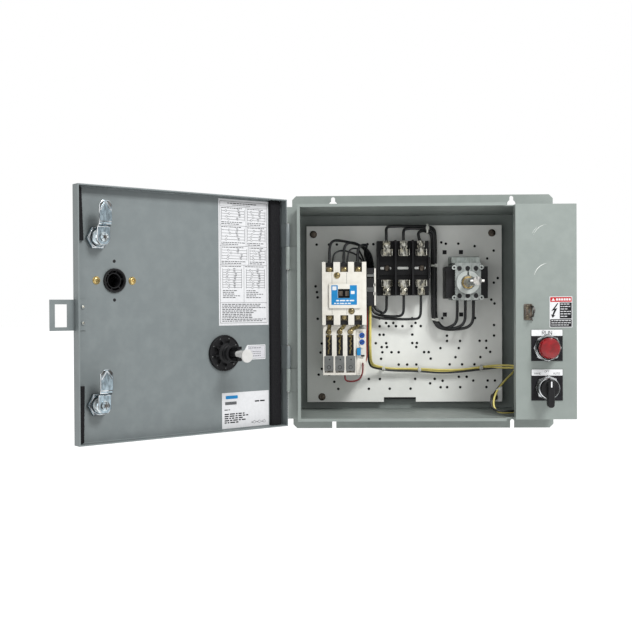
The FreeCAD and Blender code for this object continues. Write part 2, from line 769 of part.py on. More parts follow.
def contactor_cover():
    x0, x1 = STARTER
    body = block(x0, x1, -95, -50, -18.2, 73.6)
    raised = block(-143.5, -97.8, -98, -94, 6.4, 41.6)
    pockets = [block(x - 5.8, x + 5.8, -96, -80, z0, z1)
               for x in POLES for z0, z1 in ((59, 75), (-20, -4))]
    window = block(-130.5, -113.1, -99, -49, 21, 34.2)
    bores = [rod("y", 1.9, -96, -84, x, z) for x, z in COVER_SCREWS]
    return cut(fuse(body, raised), *pockets, window, *bores)


def contactor_screws():
    """Terminal clamps in the pockets, and the two brass screws that hold the cover."""
    pieces = []
    for x in POLES:
        for z in (61.8, -6.6):
            clamp = block(x - 5, x + 5, -90, -80, z - 2.6, z + 2.6)
            pieces.append(fuse(clamp, pan_screw(x, z, -90, 2.4, 1, 1, 1.6)))
    pieces += [pan_screw(x, z, -95, 4.4, 1.8, 10) for x, z in COVER_SCREWS]
    return gather(*pieces)


CORE = (-139.4, -103.4)
CORE_LEG = 8


def contactor_core():
    """The laminated E-shaped magnet, its legs towards the armature in front."""
    x0, x1 = CORE
    middle = (x0 + x1) / 2
    yoke = block(x0, x1, -30, -23, 14, 42)
    legs = [block(x - CORE_LEG / 2, x + CORE_LEG / 2, -48, -30, 14, 42)
            for x in (x0 + CORE_LEG / 2, middle, x1 - CORE_LEG / 2)]
    return fuse(yoke, *legs)


def contactor_coil():
    """The coil on its bobbin round the magnet's centre leg."""
    x0, x1 = CORE
    middle = (x0 + x1) / 2
    inside = CORE_LEG / 2 + 0.2
    outside = (x1 - x0) / 2 - CORE_LEG - 0.4
    winding = block(middle - outside, middle + outside, -46, -30.2, 8, 48)
    return cut(winding, block(middle - inside, middle + inside, -47, -29, 13.8, 42.2))


def contact_carrier():
    """The moving contact carrier, with its two pushers in the cover's window."""
    bar = block(-130.1, -113.5, -88, -62, 21.4, 33.8)
    pushers = [block(x - 2.6, x + 2.6, -96.5, -88, 23.6, 31.6) for x in (-126, -117.6)]
    return fuse(bar, *pushers)


def aux_contact_block():
    block_body = block(-88.9, -78.2, -90, -44, 9.4, 64.6)
    side = block(-78.2, -75.2, -86, -44, 9.4, 64.6)
    steps = [block(-90, -77, -91, -82, z, z + 5) for z in (12, 31, 50)]
    return cut(fuse(block_body, side), *steps)


HEATERS = (-144.4, -128.4, -112.6)
UPPER_SCREWS = -28.6
LOWER_SCREWS = -83


def overload_housing():
    """The thermal relay's housing, with a heater slot and a lead pocket at each pole."""
    body = block(-152.8, -104.6, -85, PANEL, -92, -18.6)
    slots = [block(x - 4.7, x + 4.7, -86, -62, -63.9, -33) for x in HEATERS]
    pockets = [block(x - 6.4, x + 6.4, -86, -79, -88.6, -66.4) for x in HEATERS]
    bores = [rod("y", 1.65, -86, -80, x, UPPER_SCREWS) for x in HEATERS]
    bores += [rod("y", 1.45, -80, -74, x, LOWER_SCREWS) for x in HEATERS]
    return cut(body, *slots, *pockets, *bores)


def heater_elements():
    """A bimetal heater in the right half of each slot, on a pair of stirrups."""
    heaters = []
    for x in HEATERS:
        coil = rod("z", 2.2, -58.5, -37.5, x + 2.2, -74)
        feet = [block(x - 0.2, x + 4.6, -77, -62, z, z + 1.8) for z in (-60, -38.2)]
        heaters.append(fuse(coil, *feet))
    return gather(*heaters)


def overload_screws():
    upper = [pan_screw(x, UPPER_SCREWS, -85, 4.2, 1.6, 4) for x in HEATERS]
    lower = [pan_screw(x, LOWER_SCREWS, -79, 3.2, 1.4, 4, 1.8) for x in HEATERS]
    return gather(*upper, *lower)


def trip_unit():
    """The relay's control side: dials, test slot, reset guide and terminal."""
    body = block(-104.2, -90.2, -82, PANEL, -92, -24.2)
    slots = [block(-99.6, -94.2, -83, -80.4, z, z + 2.4) for z in (-31, -68)]
    dials = [rod("y", 2.9, -83.4, -82, -95.6, z) for z in (-39.6, -49.8)]
    reset = block(-103.4, -97.4, -83, -70, -63.2, -52)
    post = rod("y", 3, -83.6, -82, -94.6, -75)
    return fuse(cut(body, *slots, reset), *dials, post)


def overload_reset_button():
    return gather(block(-103.1, -97.7, -88.6, -74.6, -62.9, -52.3))


# ---------------------------------------------------------------- fuse block

FUSES = (-57.2, -31.4, -5.6)
CLIPS_UP = (89.5, 43.3)


def fuse_block_base():
    base = block(-71.3, 7.3, -34, PANEL, 25, 107.6)
    spine = block(-71.3, 7.3, -39, -34, 56, 76)
    walls = [block(x - 1.3, x + 1.3, -58, -33, 25, 107.6) for x in (-44.3, -18.5)]
    ends = [block(x - 1.2, x + 1.2, -52, -33, 50, 82) for x in (-70.1, 6.1)]
    slots = [block(x - 6, x + 6, -40, -36, 63.4, 69.4) for x in (FUSES[1],)]
    slots += [block(x - 3, x + 3, -40, -36, 63.4, 69.4) for x in (-64.6, -12.6)]
    bores = [rod("y", 2.1, -40, -24, x, 66.2) for x in (-56.5, -4.2)]
    return cut(fuse(base, spine, *walls, *ends), *slots, *bores)


def fuse_clips():
    """Six spring clips, each a U with lips that open towards the front."""
    clips = []
    for x in FUSES:
        for z in CLIPS_UP:
            low, high = z - 6, z + 6
            foot = block(x - 8.4, x + 8.4, -35.2, -34, low, high)
            leaves = []
            lips = []
            for side in (x - 7.8, x + 7.8):
                outer = side + math.copysign(1, side - x)
                leaves.append(block(side - 0.6, side + 0.6, -52, -34, low, high))
                lips.append(block(outer - 1.6, outer + 1.6, -53.2, -51.8, low, high))
            clips.append(fuse(foot, *leaves, *lips))
    return gather(*clips)


def fuse_block_screws():
    """Two mounting screws, and a box lug with its screw at each end of a pole."""
    pieces = [pan_screw(x, 66.2, -39, 4.6, 2, 14) for x in (-56.5, -4.2)]
    for x in FUSES:
        for z in (102, 30.6):
            lug = block(x - 5.4, x + 5.4, -46, -34, z - 4.4, z + 4.4)
            pieces.append(fuse(lug, pan_screw(x, z, -46, 3.4, 1, 1, 1.6)))
    return gather(*pieces)


# ---------------------------------------------------------------- rotary disconnect

SIDE_BLOCKS = ((29.6, 41.9), (80.3, 91.4))
TERMINALS = (48.4, 60.5, 72.6)


def disconnect_bracket():
    foot = block(38.4, 85, -17.6, PANEL, 17.6, 84)
    tabs = block(38.4, 80.8, -60, -17.6, 72.2, 80.8)
    hollow = block(40, 79.2, -58.4, -19.2, 71, 79.2)
    return fuse(foot, cut(tabs, hollow))


def disconnect_body():
    body = block(42.3, 79.9, -75, -17.6, 17.2, 71.8)
    holes = [rod("y", 2.7, -76, -66, x, z) for x in TERMINALS for z in (25, 62.4)]
    well = rod("y", "shaft_radius + 1.2", -76, -30, "shaft_right", "shaft_up")
    return cut(body, *holes, well)


def disconnect_side_blocks():
    return gather(*[block(x0, x1, -66, -17.6, 20, 67) for x0, x1 in SIDE_BLOCKS])


def disconnect_terminals():
    return gather(*[pan_screw(x, z, -68, 2.4, 1, 1.6, 1.4) for x in TERMINALS for z in (25, 62.4)])


def disconnect_collar():
    """The white open ring on the switch face, over a brass detent ring."""
    x, z = "shaft_right", "shaft_up"
    ring = cut(rod("y", 17, -81, -75, x, z), rod("y", 10.4, -82, -74, x, z),
               block(f"{x} - 1.4", f"{x} + 1.4", -82, -74, z, f"{z} + 18"))
    ears = [cut(rod("y", 3.4, -78, -75, f"{x} + {right}", f"{z} + {up}"),
                rod("y", 1.6, -79, -74, f"{x} + {right}", f"{z} + {up}"))
            for right in (-20, 20) for up in (-22.2, 22.2)]
    return gather(ring, *ears)


def switch_shaft():
    x, z = "shaft_right", "shaft_up"
    shaft = fuse(
        rod("y", "shaft_radius", "-shaft_front", -40, x, z),
        rod("y", 9.8, -79.4, -75.4, x, z),
    )
    return cut(shaft, rod("x", 2, f"{x} - 20", f"{x} + 20", "4 - shaft_front", z))


def shaft_cross_pin():
    """The pin through the shaft's end, short enough to swing clear of the door handle's socket."""
    return gather(rod("x", 2, "shaft_right - 9.6", "shaft_right + 9.6", "4 - shaft_front", "shaft_up"))


# ---------------------------------------------------------------- wires

LANES = (0, 1, 2)
PITCH = 4.7
LINE_RIGHT = 21  # the rightmost line wire


def starter_wires():
    """From the fuse block's lower lugs, up behind the starter and into its upper pockets."""
    wires = []
    for lane in LANES:
        low = -2 - PITCH * lane
        channel = -77.4 - PITCH * lane
        over = 110 - 7 * lane
        wires.append(tube(
            [
                (FUSES[lane], -40, 26.1), (FUSES[lane], -40, low), (channel, -29, low),
                (channel, -29, 62), (channel, -56, over - 4), (POLES[lane], -85, over),
                (POLES[lane], -85, 64.5),
            ],
            dim("power_wire"), 9))
    return gather(*[shaped(wire) for wire in wires])


def line_wires():
    """From the fuse block's upper lugs, down between the devices and up into the switch."""
    wires = []
    for lane in LANES:
        top = 130 - PITCH * lane
        down = LINE_RIGHT - PITCH * lane
        low = -12 - PITCH * lane
        wires.append(tube(
            [
                (FUSES[lane], -40, 106.5), (FUSES[lane], -40, top), (down, -28, top),
                (down, -26, 40), (down, -26, low), (TERMINALS[lane], -46, low - 4),
                (TERMINALS[lane], -46, 17.1),
            ],
            dim("power_wire"), 12))
    return gather(*[shaped(wire) for wire in wires])


STRANDS = ((0, 0), (2.6, 0), (1.3, 2.3))  # places of the three control wires in their bundle


def control_wires():
    """Three thin wires from the auxiliary contacts to the devices on the fixed panel."""
    wires = []
    for number, (side, rise) in enumerate(STRANDS):
        run = [
            (-84.6 + side, -66 - rise, 9.3), (-84.6 + side, -66 - rise, -66),
            (-76 + side, -27 - rise, -88 + side), (-10, -24 - rise, -90 + side),
            (92, -24 - rise, -88 + side),
        ]
        if number < 2:
            run += [
                (124 - side, -46 - rise, -87 + side), (100 - side, -86 - rise, -106 + side),
                (88 - side, -107 - rise, -124), (91, -119 - rise, -138 + side),
                (110, -121 - rise, -143 + side), (136, -118 - rise, -140 + side), (156 + 4 * number, -110, -137),
                (156 + 4 * number, -110, -125.6),
            ]
        else:
            run += [(122, -36, -90), (150, -70, -84), (158, -110, -80), (158, -110, -69.4)]
        wires.append(tube(run, dim("control_wire"), 14))
    return gather(*[shaped(wire) for wire in wires])


def jumper_wire():
    run = [(-94.6, -83.7, -75), (-94.6, -90, -75), (-95, -91, -94), (-108, -86, -101),
           (-121, -81, -101), (-121, -81, -92.1)]
    return shaped(tube(run, dim("control_wire"), 6))


def cable_ties():
    """Bands round the wire bundles, clear of the wires by a hair."""
    round_ties = [
        cut(rod("x", 5, x, x + 3, -25.6, z + 1.3), rod("x", 4, x - 1, x + 4, -25.6, z + 1.3))
        for x, z in ((-52, -88.9), (-9, -90), (80, -88.3))
    ]
    half = 1.5 * PITCH + 0.6
    middle = LINE_RIGHT - PITCH
    flat_ties = [
        cut(block(middle - half - 1, middle + half + 1, -31, -22, z, z + 4),
            block(middle - half, middle + half, -30, -23, z - 1, z + 5))
        for z in (68.2, 6)
    ]
    top_tie = cut(block(3, 6, -39.8, -26, 115.6, 134), block(2, 7, -38.8, -27, 116.6, 133))
    return gather(*round_ties, *flat_ties, top_tie)


# ---------------------------------------------------------------- build and write

node("enclosure_shell", enclosure_shell())
node("wall_plate", wall_plate())
node("fixed_front_panel", fixed_front_panel())
node("mounting_panel", mounting_panel())
node("panel_standoffs", panel_standoffs())
node("panel_screws", panel_screws())
node("box_hinge_leaves", box_hinge_leaves())
node("hinge_pins", hinge_pins())
node("padlock_staple", padlock_staple())
node("staple_rivets", staple_rivets())
node("warning_label", warning_label())
node("pilot_legend_plate", legend_plate("pilot_up"))
node("pilot_light_body", pilot_light_body())
node("pilot_bezel", device_bezel("pilot_up", 36, 5, 17, 12, 15))
node("pilot_lens", pilot_lens())
node("selector_legend_plate", legend_plate("selector_up"))
node("selector_body", selector_body())
node("selector_bezel", device_bezel("selector_up", 32, 6, 14.8, 18, 12))
node("selector_knob", selector_knob())
node("contactor_base", contactor_base())
node("contactor_cover", contactor_cover())
node("contactor_screws", contactor_screws())
node("contactor_core", contactor_core())
node("contactor_coil", contactor_coil())
node("contact_carrier", contact_carrier())
node("aux_contact_block", aux_contact_block())
node("overload_housing", overload_housing())
node("heater_elements", heater_elements())
node("overload_screws", overload_screws())
node("trip_unit", trip_unit())
node("overload_reset_button", overload_reset_button())
node("fuse_block_base", fuse_block_base())
node("fuse_clips", fuse_clips())
node("fuse_block_screws", fuse_block_screws())
node("disconnect_bracket", disconnect_bracket())
node("disconnect_body", disconnect_body())
node("disconnect_side_blocks", disconnect_side_blocks())
node("disconnect_terminals", disconnect_terminals())
node("disconnect_collar", disconnect_collar())
node("switch_shaft", switch_shaft())
node("shaft_cross_pin", shaft_cross_pin())
node("starter_wires", starter_wires())
node("line_wires", line_wires())
node("control_wires", control_wires())
node("jumper_wire", jumper_wire())
node("cable_ties", cable_ties())
node("door_panel", door_panel(), on_door=True)
node("door_hinge_leaves", door_hinge_leaves(), on_door=True)
node("hinge_side_gasket", hinge_side_gasket(), on_door=True)
node("free_side_gaskets", free_side_gaskets(), on_door=True)
node("door_labels", door_labels(), on_door=True)
node("padlock_hasp", padlock_hasp(), on_door=True)
node("latch_housings", latch_housings(), on_door=True)
node("upper_latch_cam", latch_cam(LATCHES_UP[0]), on_door=True)
node("lower_latch_cam", latch_cam(LATCHES_UP[1]), on_door=True)
node("handle_escutcheon", handle_escutcheon(), on_door=True)
node("escutcheon_screws", escutcheon_screws(), on_door=True)
node("door_handle", door_handle(), on_door=True)
node("reset_guide", reset_guide(), on_door=True)
node("reset_plunger", reset_plunger(), on_door=True)

doc.recompute()
failed = [o.Name for o in doc.Objects if "Invalid" in o.State or "Error" in o.State]
failed += [o.Label for o in nodes if o.Shape.isNull() or not o.Shape.isValid() or not o.Shape.Solids]
if failed:
    raise SystemExit(f"failed: {failed}")

os.makedirs("parts", exist_ok=True)
for thing in nodes:
    thing.Shape.exportStep(f"parts/{thing.Label}.step")
    box = thing.Shape.BoundBox
    print(f"{thing.Label:24s} solids {len(thing.Shape.Solids):3d}  x {box.XMin:.1f} {box.XMax:.1f}"
          f"  y {box.YMin:.1f} {box.YMax:.1f}  z {box.ZMin:.1f} {box.ZMax:.1f}")
print(len(nodes), "nodes")
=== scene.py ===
import json
import math
import random

import bmesh
import bpy
from mathutils import Matrix, Vector


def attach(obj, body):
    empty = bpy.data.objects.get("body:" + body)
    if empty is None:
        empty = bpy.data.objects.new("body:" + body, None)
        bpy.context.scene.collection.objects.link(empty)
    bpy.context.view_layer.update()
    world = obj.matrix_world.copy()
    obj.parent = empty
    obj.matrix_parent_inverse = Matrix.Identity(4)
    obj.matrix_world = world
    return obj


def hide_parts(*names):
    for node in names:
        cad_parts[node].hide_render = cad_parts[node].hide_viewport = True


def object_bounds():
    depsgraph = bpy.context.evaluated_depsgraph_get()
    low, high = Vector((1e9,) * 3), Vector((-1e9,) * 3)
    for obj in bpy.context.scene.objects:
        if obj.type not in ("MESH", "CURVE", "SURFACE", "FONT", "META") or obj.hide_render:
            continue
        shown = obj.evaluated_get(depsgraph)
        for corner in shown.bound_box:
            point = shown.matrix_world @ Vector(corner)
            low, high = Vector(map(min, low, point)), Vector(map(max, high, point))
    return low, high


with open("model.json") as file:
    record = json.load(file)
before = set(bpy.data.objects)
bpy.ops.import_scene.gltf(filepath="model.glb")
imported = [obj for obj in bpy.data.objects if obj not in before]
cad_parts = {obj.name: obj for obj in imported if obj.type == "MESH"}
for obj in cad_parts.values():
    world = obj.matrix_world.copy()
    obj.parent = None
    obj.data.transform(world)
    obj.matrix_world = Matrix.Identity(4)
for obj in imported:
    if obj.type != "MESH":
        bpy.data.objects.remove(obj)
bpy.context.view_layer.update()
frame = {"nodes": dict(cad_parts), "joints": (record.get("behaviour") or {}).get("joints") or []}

# An enclosed combination motor starter, its door open. Sizes are in millimetres unless a name says
# otherwise, in the frame of the CAD model: +X right, +Y into the wall, +Z up.

MM = 0.001
NODES = frame["nodes"]
JOINTS = {joint["name"]: joint for joint in frame["joints"]}
SCENE = bpy.context.scene
ON_DOOR = ("door", "upper_latch", "lower_latch", "door_handle", "reset_plunger")


# ------------------------------------------------------------------ places


def door_matrix():
    """What turns a piece drawn with the door closed to the open door's place, in millimetres."""
    swing = JOINTS["door_swing"]
    centre = Vector(swing["pos_m"]) / MM
    opened = math.radians(max(swing["range_deg"]))
    return Matrix.Translation(centre) @ Matrix.Rotation(-opened, 4, "Z") @ Matrix.Translation(-centre)


DOOR = door_matrix()
SHUT = DOOR.inverted()


def solids(node, shut=False):
    """The box of each solid of a CAD node, in millimetres, lowest left first."""
    mesh = bmesh.new()
    mesh.from_mesh(NODES[node].data)
    bmesh.ops.remove_doubles(mesh, verts=mesh.verts, dist=1e-6)
    turn = SHUT if shut else Matrix()
    left = set(mesh.verts)
    boxes = []
    while left:
        stack = [left.pop()]
        island = []
        while stack:
            vert = stack.pop()
            island.append(turn @ (vert.co / MM))
            for edge in vert.link_edges:
                other = edge.other_vert(vert)
                if other in left:
                    left.remove(other)
                    stack.append(other)
        low = Vector(min(p[i] for p in island) for i in range(3))
        high = Vector(max(p[i] for p in island) for i in range(3))
        boxes.append((low, high))
    mesh.free()
    return sorted(boxes, key=lambda b: (round(b[0].z), round(b[0].x)))


def box_of(node, shut=False):
    boxes = solids(node, shut)
    low = Vector(min(b[0][i] for b in boxes) for i in range(3))
    high = Vector(max(b[1][i] for b in boxes) for i in range(3))
    return low, high


def middle(box):
    return (box[0] + box[1]) / 2


def axis_of(box):
    """The middle of a box, moved to y = 0, from where turned profiles are measured."""
    centre = middle(box)
    return Vector((centre.x, 0, centre.z))


def seats(boxes, rise, facing=-1):
    """Where screw heads sit: in the middle of each box, rise below its front (-1) or back (1)."""
    return [Vector((middle(b).x, b[(1 + facing) // 2].y - facing * rise, middle(b).z)) for b in boxes]


# ------------------------------------------------------------------ materials


class Finish:
    """A Principled material whose colour, roughness and bump are built up from noise."""

    def __init__(self, name, colour, roughness, metallic=0.0, **sockets):
        self.material = bpy.data.materials.new(name)
        self.material.use_nodes = True
        self.tree = self.material.node_tree
        self.shader = self.tree.nodes["Principled BSDF"]
        self.colour = colour
        self.shader.inputs["Base Color"].default_value = (*colour, 1)
        self.shader.inputs["Roughness"].default_value = roughness
        self.shader.inputs["Metallic"].default_value = metallic
        for socket, value in sockets.items():
            self.shader.inputs[socket.replace("_", " ")].default_value = value
        self.place = self.add("ShaderNodeTexCoord").outputs["Object"]
        self.paint = None
        self.height = None

    def add(self, kind, **values):
        node = self.tree.nodes.new(kind)
        for name, value in values.items():
            setattr(node, name, value)
        return node

    def link(self, start, end):
        self.tree.links.new(start, end)

    def noise(self, size, detail=4, stretch=(1, 1, 1)):
        """A noise whose features are about size millimetres, longer along stretched axes."""
        mapping = self.add("ShaderNodeMapping")
        mapping.inputs["Scale"].default_value = [1 / (size * MM * s) for s in stretch]
        self.link(self.place, mapping.inputs["Vector"])
        noise = self.add("ShaderNodeTexNoise")
        noise.inputs["Scale"].default_value = 1
        noise.inputs["Detail"].default_value = detail
        noise.inputs["Roughness"].default_value = 0.55
        self.link(mapping.outputs["Vector"], noise.inputs["Vector"])
        return noise.outputs["Fac"]

    def span(self, value, low, high, start=0.3, end=0.7):
        node = self.add("ShaderNodeMapRange")
        for socket, number in zip(("From Min", "From Max", "To Min", "To Max"), (start, end, low, high)):
            node.inputs[socket].default_value = number
        self.link(value, node.inputs["Value"])
        return node.outputs["Result"]

    def mottle(self, size, other, detail=4, start=0.35, end=0.65, stretch=(1, 1, 1)):
        """Blends another colour in where a noise is high."""
        share = self.span(self.noise(size, detail, stretch), 0, 1, start, end)
        return self.over(share, other)

    def over(self, share, other):
        mix = self.add("ShaderNodeMix", data_type="RGBA")
        if self.paint is None:
            mix.inputs[6].default_value = (*self.colour, 1)
        else:
            self.link(self.paint, mix.inputs[6])
        mix.inputs[7].default_value = (*other, 1)
        self.link(share, mix.inputs[0])
        self.paint = mix.outputs[2]
        return self

    def sheen(self, size, low, high):
        """Roughness that wanders between two values."""
        self.link(self.span(self.noise(size, 5), low, high), self.shader.inputs["Roughness"])
        return self

    def relief(self, size, depth, detail=3, stretch=(1, 1, 1)):
        """Bumps of a size and a depth in millimetres."""
        bump = self.add("ShaderNodeBump")
        bump.inputs["Strength"].default_value = 1
        bump.inputs["Distance"].default_value = depth * MM
        self.link(self.noise(size, detail, stretch), bump.inputs["Height"])
        if self.height is not None:
            self.link(self.height, bump.inputs["Normal"])
        self.height = bump.outputs["Normal"]
        return self

    def edge_highlight(self, other, radius, share=0.8):
        """Painted highlight: edges that show another, paler colour, where a rounded normal leaves the true
        one.
        """
        bevel = self.add("ShaderNodeBevel", samples=4)
        bevel.inputs["Radius"].default_value = radius * MM
        true = self.add("ShaderNodeNewGeometry").outputs["Normal"]
        dot = self.add("ShaderNodeVectorMath", operation="DOT_PRODUCT")
        self.link(bevel.outputs["Normal"], dot.inputs[0])
        self.link(true, dot.inputs[1])
        return self.over(self.span(dot.outputs["Value"], share, 0, 0.72, 0.97), other)

    def done(self):
        if self.paint is not None:
            self.link(self.paint, self.shader.inputs["Base Color"])
        if self.height is not None:
            self.link(self.height, self.shader.inputs["Normal"])
        return self.material


def painted(name, colour, light, dark):
    """Baked enamel on sheet steel: a faint orange peel, soft broad shading, and paler edges that are a
    painted highlight.
    """
    finish = Finish(name, colour, 0.42, Specular_IOR_Level=0.35, Coat_Weight=0.12, Coat_Roughness=0.35)
    finish.mottle(140, dark, 2, 0.25, 0.8).mottle(18, [0.9 * a + 0.1 * b for a, b in zip(colour, light)], 3,
                                                  0.4, 0.7)
    return finish.edge_highlight(light, 0.7, 0.6).sheen(40, 0.38, 0.5).relief(1.1, 0.016).relief(0.25, 0.004).done()


def plated(name, colour, tint, roughness, grain=(1, 1, 1), deep=0.3, streak=4.5):
    """Zinc, chrome or brass: bright metal with dark streaks, stains and fine brushed lines."""
    finish = Finish(name, colour, roughness, 1.0)
    finish.mottle(7, tint, 2, 0.4, 0.7).mottle(streak, [c * deep for c in colour], 1, 0.42, 0.62, (1, 1, 2.6))
    # Brighter edges: a painted highlight.
    finish.edge_highlight([min(1, c * 1.3) for c in colour], 0.35, 0.8)
    return finish.sheen(2, roughness * 0.7, roughness * 1.5).relief(0.5, 0.012, 4, grain).done()


def moulded(name, colour, other, roughness=0.42, edge_highlight=None):
    """Moulded plastic: a fine spark-eroded texture and slight flow marks."""
    finish = Finish(name, colour, roughness, Specular_IOR_Level=0.2)
    finish.mottle(12, other, 4, 0.35, 0.7)
    # Paler edges, where a colour is given for them: a painted highlight.
    if edge_highlight:
        finish.edge_highlight(edge_highlight, 0.5, 0.6)
    return finish.sheen(6, roughness * 0.85, roughness * 1.2).relief(0.35, 0.012, 2).done()


def printed(name, colour, other, roughness=0.35, gloss=0.3):
    finish = Finish(name, colour, roughness, Specular_IOR_Level=gloss, Coat_Weight=gloss / 4,
                    Coat_Roughness=0.25)
    return finish.mottle(4, other, 4).sheen(9, roughness * 0.8, roughness * 1.3).relief(2.5, 0.01).done()


def clear(name, colour, roughness, transmission, other):
    finish = Finish(name, colour, roughness, Transmission_Weight=transmission, IOR=1.5)
    return finish.mottle(8, other, 3).relief(3, 0.02).done()


PAINT = painted("grey_enamel", (0.172, 0.196, 0.183), (0.26, 0.285, 0.272), (0.16, 0.183, 0.172))
# The door is the same enamel as the box; its darker, bluer copy is painted shade.
SHADED_DOOR_PAINT = painted("door_enamel_painted_shade", (0.118, 0.136, 0.138), (0.22, 0.245, 0.245), (0.11, 0.127, 0.13))
PANEL = painted("white_enamel", (0.62, 0.63, 0.6), (0.7, 0.71, 0.69), (0.58, 0.59, 0.565))
ZINC = plated("bright_zinc", (0.62, 0.68, 0.7), (0.4, 0.5, 0.56), 0.16, deep=0.16, streak=6)
GALVANISED = plated("dull_zinc", (0.3, 0.33, 0.31), (0.24, 0.27, 0.26), 0.4, deep=0.7)
STEEL = plated("turned_steel", (0.6, 0.6, 0.58), (0.45, 0.43, 0.4), 0.28, (1, 8, 1))
CHROME = plated("chrome_plate", (0.7, 0.71, 0.72), (0.5, 0.52, 0.54), 0.1, deep=0.12, streak=7)
BRASS = plated("clean_brass", (0.6, 0.46, 0.2), (0.4, 0.28, 0.1), 0.27)
OLIVE = plated("olive_chromate", (0.19, 0.155, 0.07), (0.085, 0.065, 0.035), 0.3)
BRONZE = plated("dark_chromate", (0.2, 0.17, 0.12), (0.09, 0.075, 0.06), 0.34)
TINNED = plated("tinned_copper", (0.48, 0.475, 0.43), (0.3, 0.275, 0.2), 0.24, deep=0.16, streak=3)
RUSSET = plated("brown_steel", (0.15, 0.125, 0.1), (0.08, 0.068, 0.058), 0.42, deep=0.4)
BLADE = plated("blue_zinc", (0.3, 0.37, 0.41), (0.22, 0.28, 0.32), 0.2, deep=0.55, streak=3)
AGED = plated("aged_brass", (0.36, 0.29, 0.15), (0.17, 0.13, 0.065), 0.26)
# The fifth colour given to a moulded plastic is the colour of its edges, a painted highlight.
BLACK = moulded("black_phenolic", (0.0045, 0.0045, 0.005), (0.008, 0.008, 0.009), 0.42, (0.035, 0.035, 0.037))
SOOT = moulded("soft_black_plastic", (0.006, 0.006, 0.007), (0.011, 0.011, 0.012), 0.5, (0.03, 0.03, 0.032))
WHITE = moulded("starter_white", (0.55, 0.535, 0.49), (0.49, 0.47, 0.42), 0.4, (0.66, 0.65, 0.62))
PALE = moulded("relay_grey", (0.12, 0.125, 0.122), (0.09, 0.094, 0.092), 0.4, (0.24, 0.24, 0.235))
IVORY = moulded("reset_white", (0.43, 0.43, 0.42), (0.37, 0.37, 0.36), 0.45)
BLUE = moulded("signal_blue", (0.008, 0.14, 0.33), (0.007, 0.17, 0.38), 0.33)
FROST = clear("frosted_ring", (0.46, 0.49, 0.47), 0.3, 0.25, (0.38, 0.41, 0.39))
NAVY = moulded("dial_blue", (0.012, 0.05, 0.2), (0.012, 0.065, 0.27), 0.35)
NYLON = clear("natural_nylon", (0.66, 0.67, 0.64), 0.3, 0.35, (0.54, 0.55, 0.5))
GLAZED = clear("smoked_polycarbonate", (0.36, 0.385, 0.37), 0.25, 0.3, (0.24, 0.265, 0.255))
RED = clear("red_lens", (0.21, 0.001, 0.004), 0.08, 0.1, (0.13, 0.001, 0.003))
FOAM = Finish("foam_strip", (0.005, 0.005, 0.006), 0.95, Specular_IOR_Level=0.15)
FOAM = FOAM.mottle(1.2, (0.012, 0.012, 0.013)).relief(0.8, 0.25, 5).done()
PAPER = printed("label_white", (0.5, 0.505, 0.515), (0.47, 0.475, 0.485))
CARD = printed("plate_white", (0.56, 0.57, 0.575), (0.52, 0.53, 0.535))
INK = printed("label_black", (0.006, 0.006, 0.007), (0.01, 0.01, 0.012), 0.5, 0.12)
TAG = printed("tag_grey", (0.4, 0.4, 0.42), (0.35, 0.35, 0.37))
FAINT = printed("label_grey", (0.05, 0.052, 0.056), (0.08, 0.083, 0.087))
SCARLET = printed("label_red", (0.34, 0.008, 0.01), (0.28, 0.006, 0.008))
COPPER = plated("coil_copper", (0.5, 0.22, 0.09), (0.3, 0.12, 0.05), 0.35, (1, 1, 0.2))
IRON = plated("core_iron", (0.13, 0.125, 0.12), (0.07, 0.066, 0.06), 0.45)


def sleeving(name, colour, other):
    """PVC wire insulation, lightly glossy, with a faint print and dust."""
    finish = Finish(name, colour, 0.36, Specular_IOR_Level=0.35)
    return finish.mottle(9, other, 4).sheen(5, 0.26, 0.42).relief(1.5, 0.03).done()


WIRE_BLACK = sleeving("black_pvc", (0.005, 0.006, 0.006), (0.01, 0.011, 0.012))
WIRE_YELLOW = sleeving("yellow_pvc", (0.56, 0.49, 0.15), (0.46, 0.39, 0.1))
WIRE_RED = sleeving("red_pvc", (0.24, 0.022, 0.012), (0.18, 0.016, 0.01))
WIRE_MAROON = sleeving("maroon_pvc", (0.14, 0.012, 0.016), (0.1, 0.01, 0.012))

FINISHES = {
    PAINT: ("enclosure_shell", "wall_plate", "fixed_front_panel", "box_hinge_leaves"),
    SHADED_DOOR_PAINT: ("door_panel", "padlock_hasp", "door_hinge_leaves"),
    PANEL: ("mounting_panel",),
    ZINC: ("panel_standoffs", "latch_housings"),
    GALVANISED: ("disconnect_bracket",),
    STEEL: ("hinge_pins", "switch_shaft", "shaft_cross_pin"),
    BRONZE: ("staple_rivets",),
    BLACK: ("contactor_base", "contact_carrier", "fuse_block_base", "disconnect_side_blocks",
            "door_handle", "handle_escutcheon", "selector_body", "pilot_light_body", "reset_guide"),
    SOOT: ("aux_contact_block",),
    WHITE: ("contactor_cover", "overload_housing", "trip_unit", "reset_plunger"),
    FROST: ("disconnect_collar",),
    GLAZED: ("disconnect_body",),
    BLUE: ("overload_reset_button",),
    PAPER: ("warning_label", "door_labels"),
    INK: ("pilot_legend_plate", "selector_legend_plate"),
    COPPER: ("contactor_coil",),
    IRON: ("contactor_core",),
    OLIVE: ("heater_elements",),
    CHROME: ("pilot_bezel", "selector_bezel"),
}


def dress(node, material):
    mesh = NODES[node].data
    mesh.materials.clear()
    mesh.materials.append(material)


def round_edges(thing, width, degrees):
    """Bevels a piece's edges that are sharper than an angle, as a modifier."""
    modifier = thing.modifiers.new("Bevel", "BEVEL")
    modifier.width = width * MM
    modifier.segments = 2
    modifier.limit_method = "ANGLE"
    modifier.angle_limit = math.radians(degrees)
    return modifier


def soften(node, width):
    """Rounds a CAD node's sharp edges a little."""
    NODES[node].modifiers.new("Weld", "WELD").merge_threshold = 1e-6
    round_edges(NODES[node], width, 40).harden_normals = True


# ------------------------------------------------------------------ mesh tools


